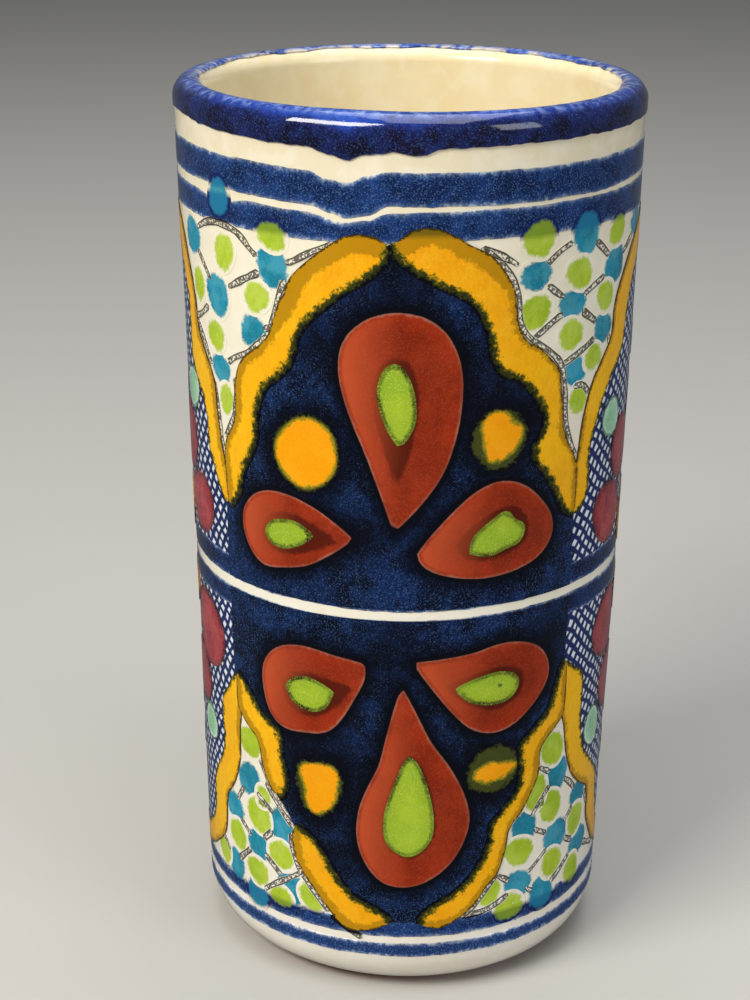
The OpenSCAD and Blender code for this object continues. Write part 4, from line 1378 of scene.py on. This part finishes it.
LINES = {
    "right_upper": [
        [(11, 129.8), (14.5, 128.2), (19.7, 125)], [(19.7, 125), (24, 128.4), (29.3, 130.3)],
        [(29.3, 130.3), (33.5, 127.2), (37.6, 123.8)], [(19.7, 125), (23.4, 122), (27, 119.5)],
        [(27, 119.5), (32, 121.8), (37.6, 123.8)], [(27, 119.5), (23.2, 117.4), (19.8, 115.2)],
        [(27, 119.5), (31, 116.8), (35, 114.2)], [(35, 114.2), (30.6, 112), (25.2, 109.9)],
        [(11, 129.8), (14.8, 126.2), (16.8, 122), (17.2, 118), (19.2, 115.2), (22.6, 112.8),
         (25.4, 109.8), (26.4, 105.5), (26.9, 101), (28, 97.4), (29.6, 94.4)],
        [(37.6, 123.8), (41, 125.6), (46.5, 128.6)], [(35, 114.2), (36.6, 112.6), (37.4, 111)],
        [(28.6, 105.9), (30.4, 105.8), (31.8, 104.4)]],
    "left_upper": [
        [(-41.8, 127), (-38.5, 129.2), (-35, 130.5), (-31, 130.6), (-28, 129.8), (-25, 127.4),
         (-21.4, 125.6)],
        [(-41.8, 127), (-38, 123.6), (-34, 119)],
        [(-21.4, 125.6), (-26, 123.4), (-30.5, 121), (-34, 119)],
        [(-21.4, 125.6), (-17.8, 127), (-15, 128.6), (-11, 130.4)],
        [(-43, 113.4), (-39, 115), (-34, 119)], [(-41, 113), (-38.4, 110), (-36, 106.4)],
        [(-35.6, 104), (-34.9, 100), (-34.2, 95.8), (-33.4, 92.8)],
        [(-33.6, 107), (-30, 109.6), (-26, 111.6), (-22.4, 115)],
        [(-29.9, 106), (-29.8, 103), (-31, 99), (-33, 96)], [(-25.6, 114.9), (-22, 116)],
        [(-18.8, 124.6), (-20.6, 120.5), (-21.9, 116)]],
    "right_lower": [
        [(25.6, 39.8), (27.6, 38.6), (30, 37.2)], [(30, 37.2), (26.6, 34.2), (22.6, 29.5)],
        [(30, 37.2), (33.8, 34.4), (37.5, 30.7)], [(22.6, 29.5), (26, 27.8), (30.6, 25.2)],
        [(37.5, 30.7), (34.4, 28.2), (30.6, 25.2)], [(30.6, 25.2), (34.6, 23), (38.6, 21)],
        [(30.6, 25.2), (26.4, 22.4), (21.6, 18.9)], [(16.9, 22), (19, 20.6), (21.6, 18.9)],
        [(21.6, 18.9), (24.4, 17), (27.3, 15.6)],
        [(27.3, 15.6), (31.5, 17.6), (35, 19.8), (38.6, 21)],
        [(21.6, 18.9), (18, 16.8), (14.5, 15.6), (10.8, 15.4)],
        [(38.6, 21), (43, 18.6), (47, 17)], [(17.2, 22), (15.3, 19.8), (13, 17), (10.8, 15.4)],
        [(37.5, 30.7), (40.2, 29.8), (41.4, 27.5)]],
    "left_lower": [
        [(-26.8, 40), (-25.4, 36.8), (-23.2, 34), (-19.8, 31)],
        [(-25.6, 36), (-22.6, 32.4), (-19.6, 29.6)], [(-28.5, 33.6), (-25.2, 31.6), (-22.6, 29)],
        [(-35.2, 28.2), (-33, 31.6), (-30.3, 35.2)], [(-22.6, 29), (-25.5, 26.5), (-28.4, 23.4)],
        [(-35.2, 28.2), (-31.6, 25.6), (-28.4, 23.4)], [(-28.4, 23.4), (-32, 20.4), (-35.6, 17)],
        [(-28.4, 23.4), (-24.4, 20.8), (-20.8, 17.6)],
        [(-29, 13.8), (-24.5, 17.2), (-20.8, 19.6), (-18, 21.8)],
        [(-40.2, 20.6), (-38, 19), (-35.6, 17)],
        [(-20.2, 28), (-20, 25), (-18.6, 21.8), (-16, 18.6), (-13.2, 15.6)],
        [(-12.4, 14.4), (-9.8, 12.9), (-7.2, 11.4)]],
}
LINE_W = 1.25
# How much wider a dab is with its faded edge, and how much more paint the lower ones have
DAB_FADE = 1.4
DAB_LOAD = 0.9
# A dab or line begins to rise this far before the band that it laps over
LAP_AHEAD = 0.7
DAB_LAP = 0.09
LINE_LAP = 0.08
NARROW_BAND_S = (130.9, 135.6)
WIDE_BAND_S = (136.2, HEIGHT)
LOWER_BAND_S = (11.6, 15.3)


def over_band(p, early=0.0):
    """1 on what laps over a band above or below the lattice, or comes within early of it."""
    s = p[:, 1]
    over = np.zeros(len(p))
    for low, high in (NARROW_BAND_S, WIDE_BAND_S, LOWER_BAND_S):
        above_low = np.clip((s - low + early) * 2, 0, 1)
        below_high = np.clip((high + early - s) * 2, 0, 1)
        over = np.maximum(over, above_low * below_high)
    return over


def dab(dot, turn, kind):
    """A dab from a loaded brush, which left rather more paint on the lower storey."""
    u, s, wide, high = dot
    load = DAB_LOAD if s < WAIST_TOP[0][1] else 0
    wide, high = wide + DAB_FADE + load / 2, high + DAB_FADE + load
    return coat(
        moved(oval(u, s, wide, high), turn), kind, round_off=0.7, grid=0.9, over=over_band,
        lift=lambda p: DAB_LAP * over_band(p, LAP_AHEAD))


def sketch(points, turn, dots):
    """A sketched line that stops at the edge of each turquoise dot."""
    line = smooth([(u, s, LINE_W) for u, s in points], steps=9)
    for u, s, wide, high in dots:
        out = ((line[:, 0] - u) / (wide / 2)) ** 2 + ((line[:, 1] - s) / (high / 2)) ** 2
        line = line[out > 0.9]
    line = brush_line(moved(line[::3] if len(line) > 12 else line, turn))
    return coat(
        stroke_outline(line), "line", round_off=0.15, grid=1.2, over=over_band,
        across=lambda p: across_line(p, line),
        lift=lambda p: LINE_LAP * over_band(p, LAP_AHEAD))


def paint_lattice(corner, end, turn):
    name = f"{end}_{corner if end == 'front' else FAR_SIDE[corner]}"
    limes, turquoises = LIME_DOTS[corner], TURQUOISE_DOTS[corner]
    finish_piece(
        joined([sketch(points, turn, turquoises) for points in LINES[corner]]),
        f"{name}_lattice_lines", "grey_line", ["lattice_lines"], sketched_line)
    finish_piece(
        joined([dab(d, turn, "lime") for d in limes]),
        f"{name}_lime_dots", "lime", ["lime_dots"], lime_wash)
    finish_piece(
        joined([dab(d, turn, "turquoise") for d in turquoises]),
        f"{name}_turquoise_dots", "turquoise", ["turquoise_dots"], turquoise_wash)


for corner in LINES:
    paint_lattice(corner, "front", 0)
    paint_lattice(corner, "back", HALF_TURN)


# ---- floor, light and camera ----

def make_floor():
    bm = bmesh.new()
    bmesh.ops.create_grid(bm, x_segments=1, y_segments=1, size=6.0)
    mesh = bpy.data.meshes.new("floor")
    bm.to_mesh(mesh)
    bm.free()
    floor = bpy.data.objects.new("floor", mesh)
    bpy.context.scene.collection.objects.link(floor)
    material = bpy.data.materials.new("pale_floor")
    material.use_nodes = True
    shader = material.node_tree.nodes["Principled BSDF"]
    shader.inputs["Base Color"].default_value = paint("bfbdb8")
    shader.inputs["Roughness"].default_value = 0.6
    mesh.materials.append(material)
    # Keeps the pale floor out of the glaze, as a black card in front of the pot would
    floor.visible_glossy = False


def soft_light(name, place, aim, size, power, colour="ffffff"):
    lamp = bpy.data.lights.new(name, "AREA")
    lamp.shape = "RECTANGLE"
    lamp.size, lamp.size_y = size
    lamp.energy = power
    lamp.color = paint(colour)[:3]
    holder = bpy.data.objects.new(name, lamp)
    holder.location = place
    holder.rotation_euler = (Vector(aim) - Vector(place)).to_track_quat("-Z", "Y").to_euler()
    bpy.context.scene.collection.objects.link(holder)


def make_world():
    world = bpy.data.worlds.new("studio")
    world.use_nodes = True
    back = world.node_tree.nodes["Background"]
    back.inputs["Color"].default_value = paint("dfe4ea")
    back.inputs["Strength"].default_value = 0.16
    bpy.context.scene.world = world


def make_camera():
    data = bpy.data.cameras.new("camera")
    data.lens, data.sensor_width = 77.0, 36.0
    camera = bpy.data.objects.new("camera", data)
    camera.location = (0.0, -0.3471, 0.2029)
    # A turn to the left, a tilt down from level, and a slight roll
    turns = ((0.88, "Z"), (90 - 19.93, "X"), (0.37, "Z"))
    aim = Matrix()
    for degrees, axis in turns:
        aim = aim @ Matrix.Rotation(math.radians(degrees), 4, axis)
    camera.rotation_euler = aim.to_euler()
    bpy.context.scene.collection.objects.link(camera)
    bpy.context.scene.camera = camera


bpy.context.scene.view_settings.view_transform = "Standard"
make_floor()
make_world()
middle = (0, 0, HEIGHT / 2 * MM)
soft_light("key", (-0.55, -0.55, 0.75), middle, (0.5, 0.32), 9.8, "fffaf2")
soft_light("fill", (0.75, -0.6, 0.5), middle, (0.4, 0.5), 2.6, "f2f6ff")
soft_light("top", (0.05, 0.0, 0.95), middle, (1.1, 0.55), 6.2)
make_camera()
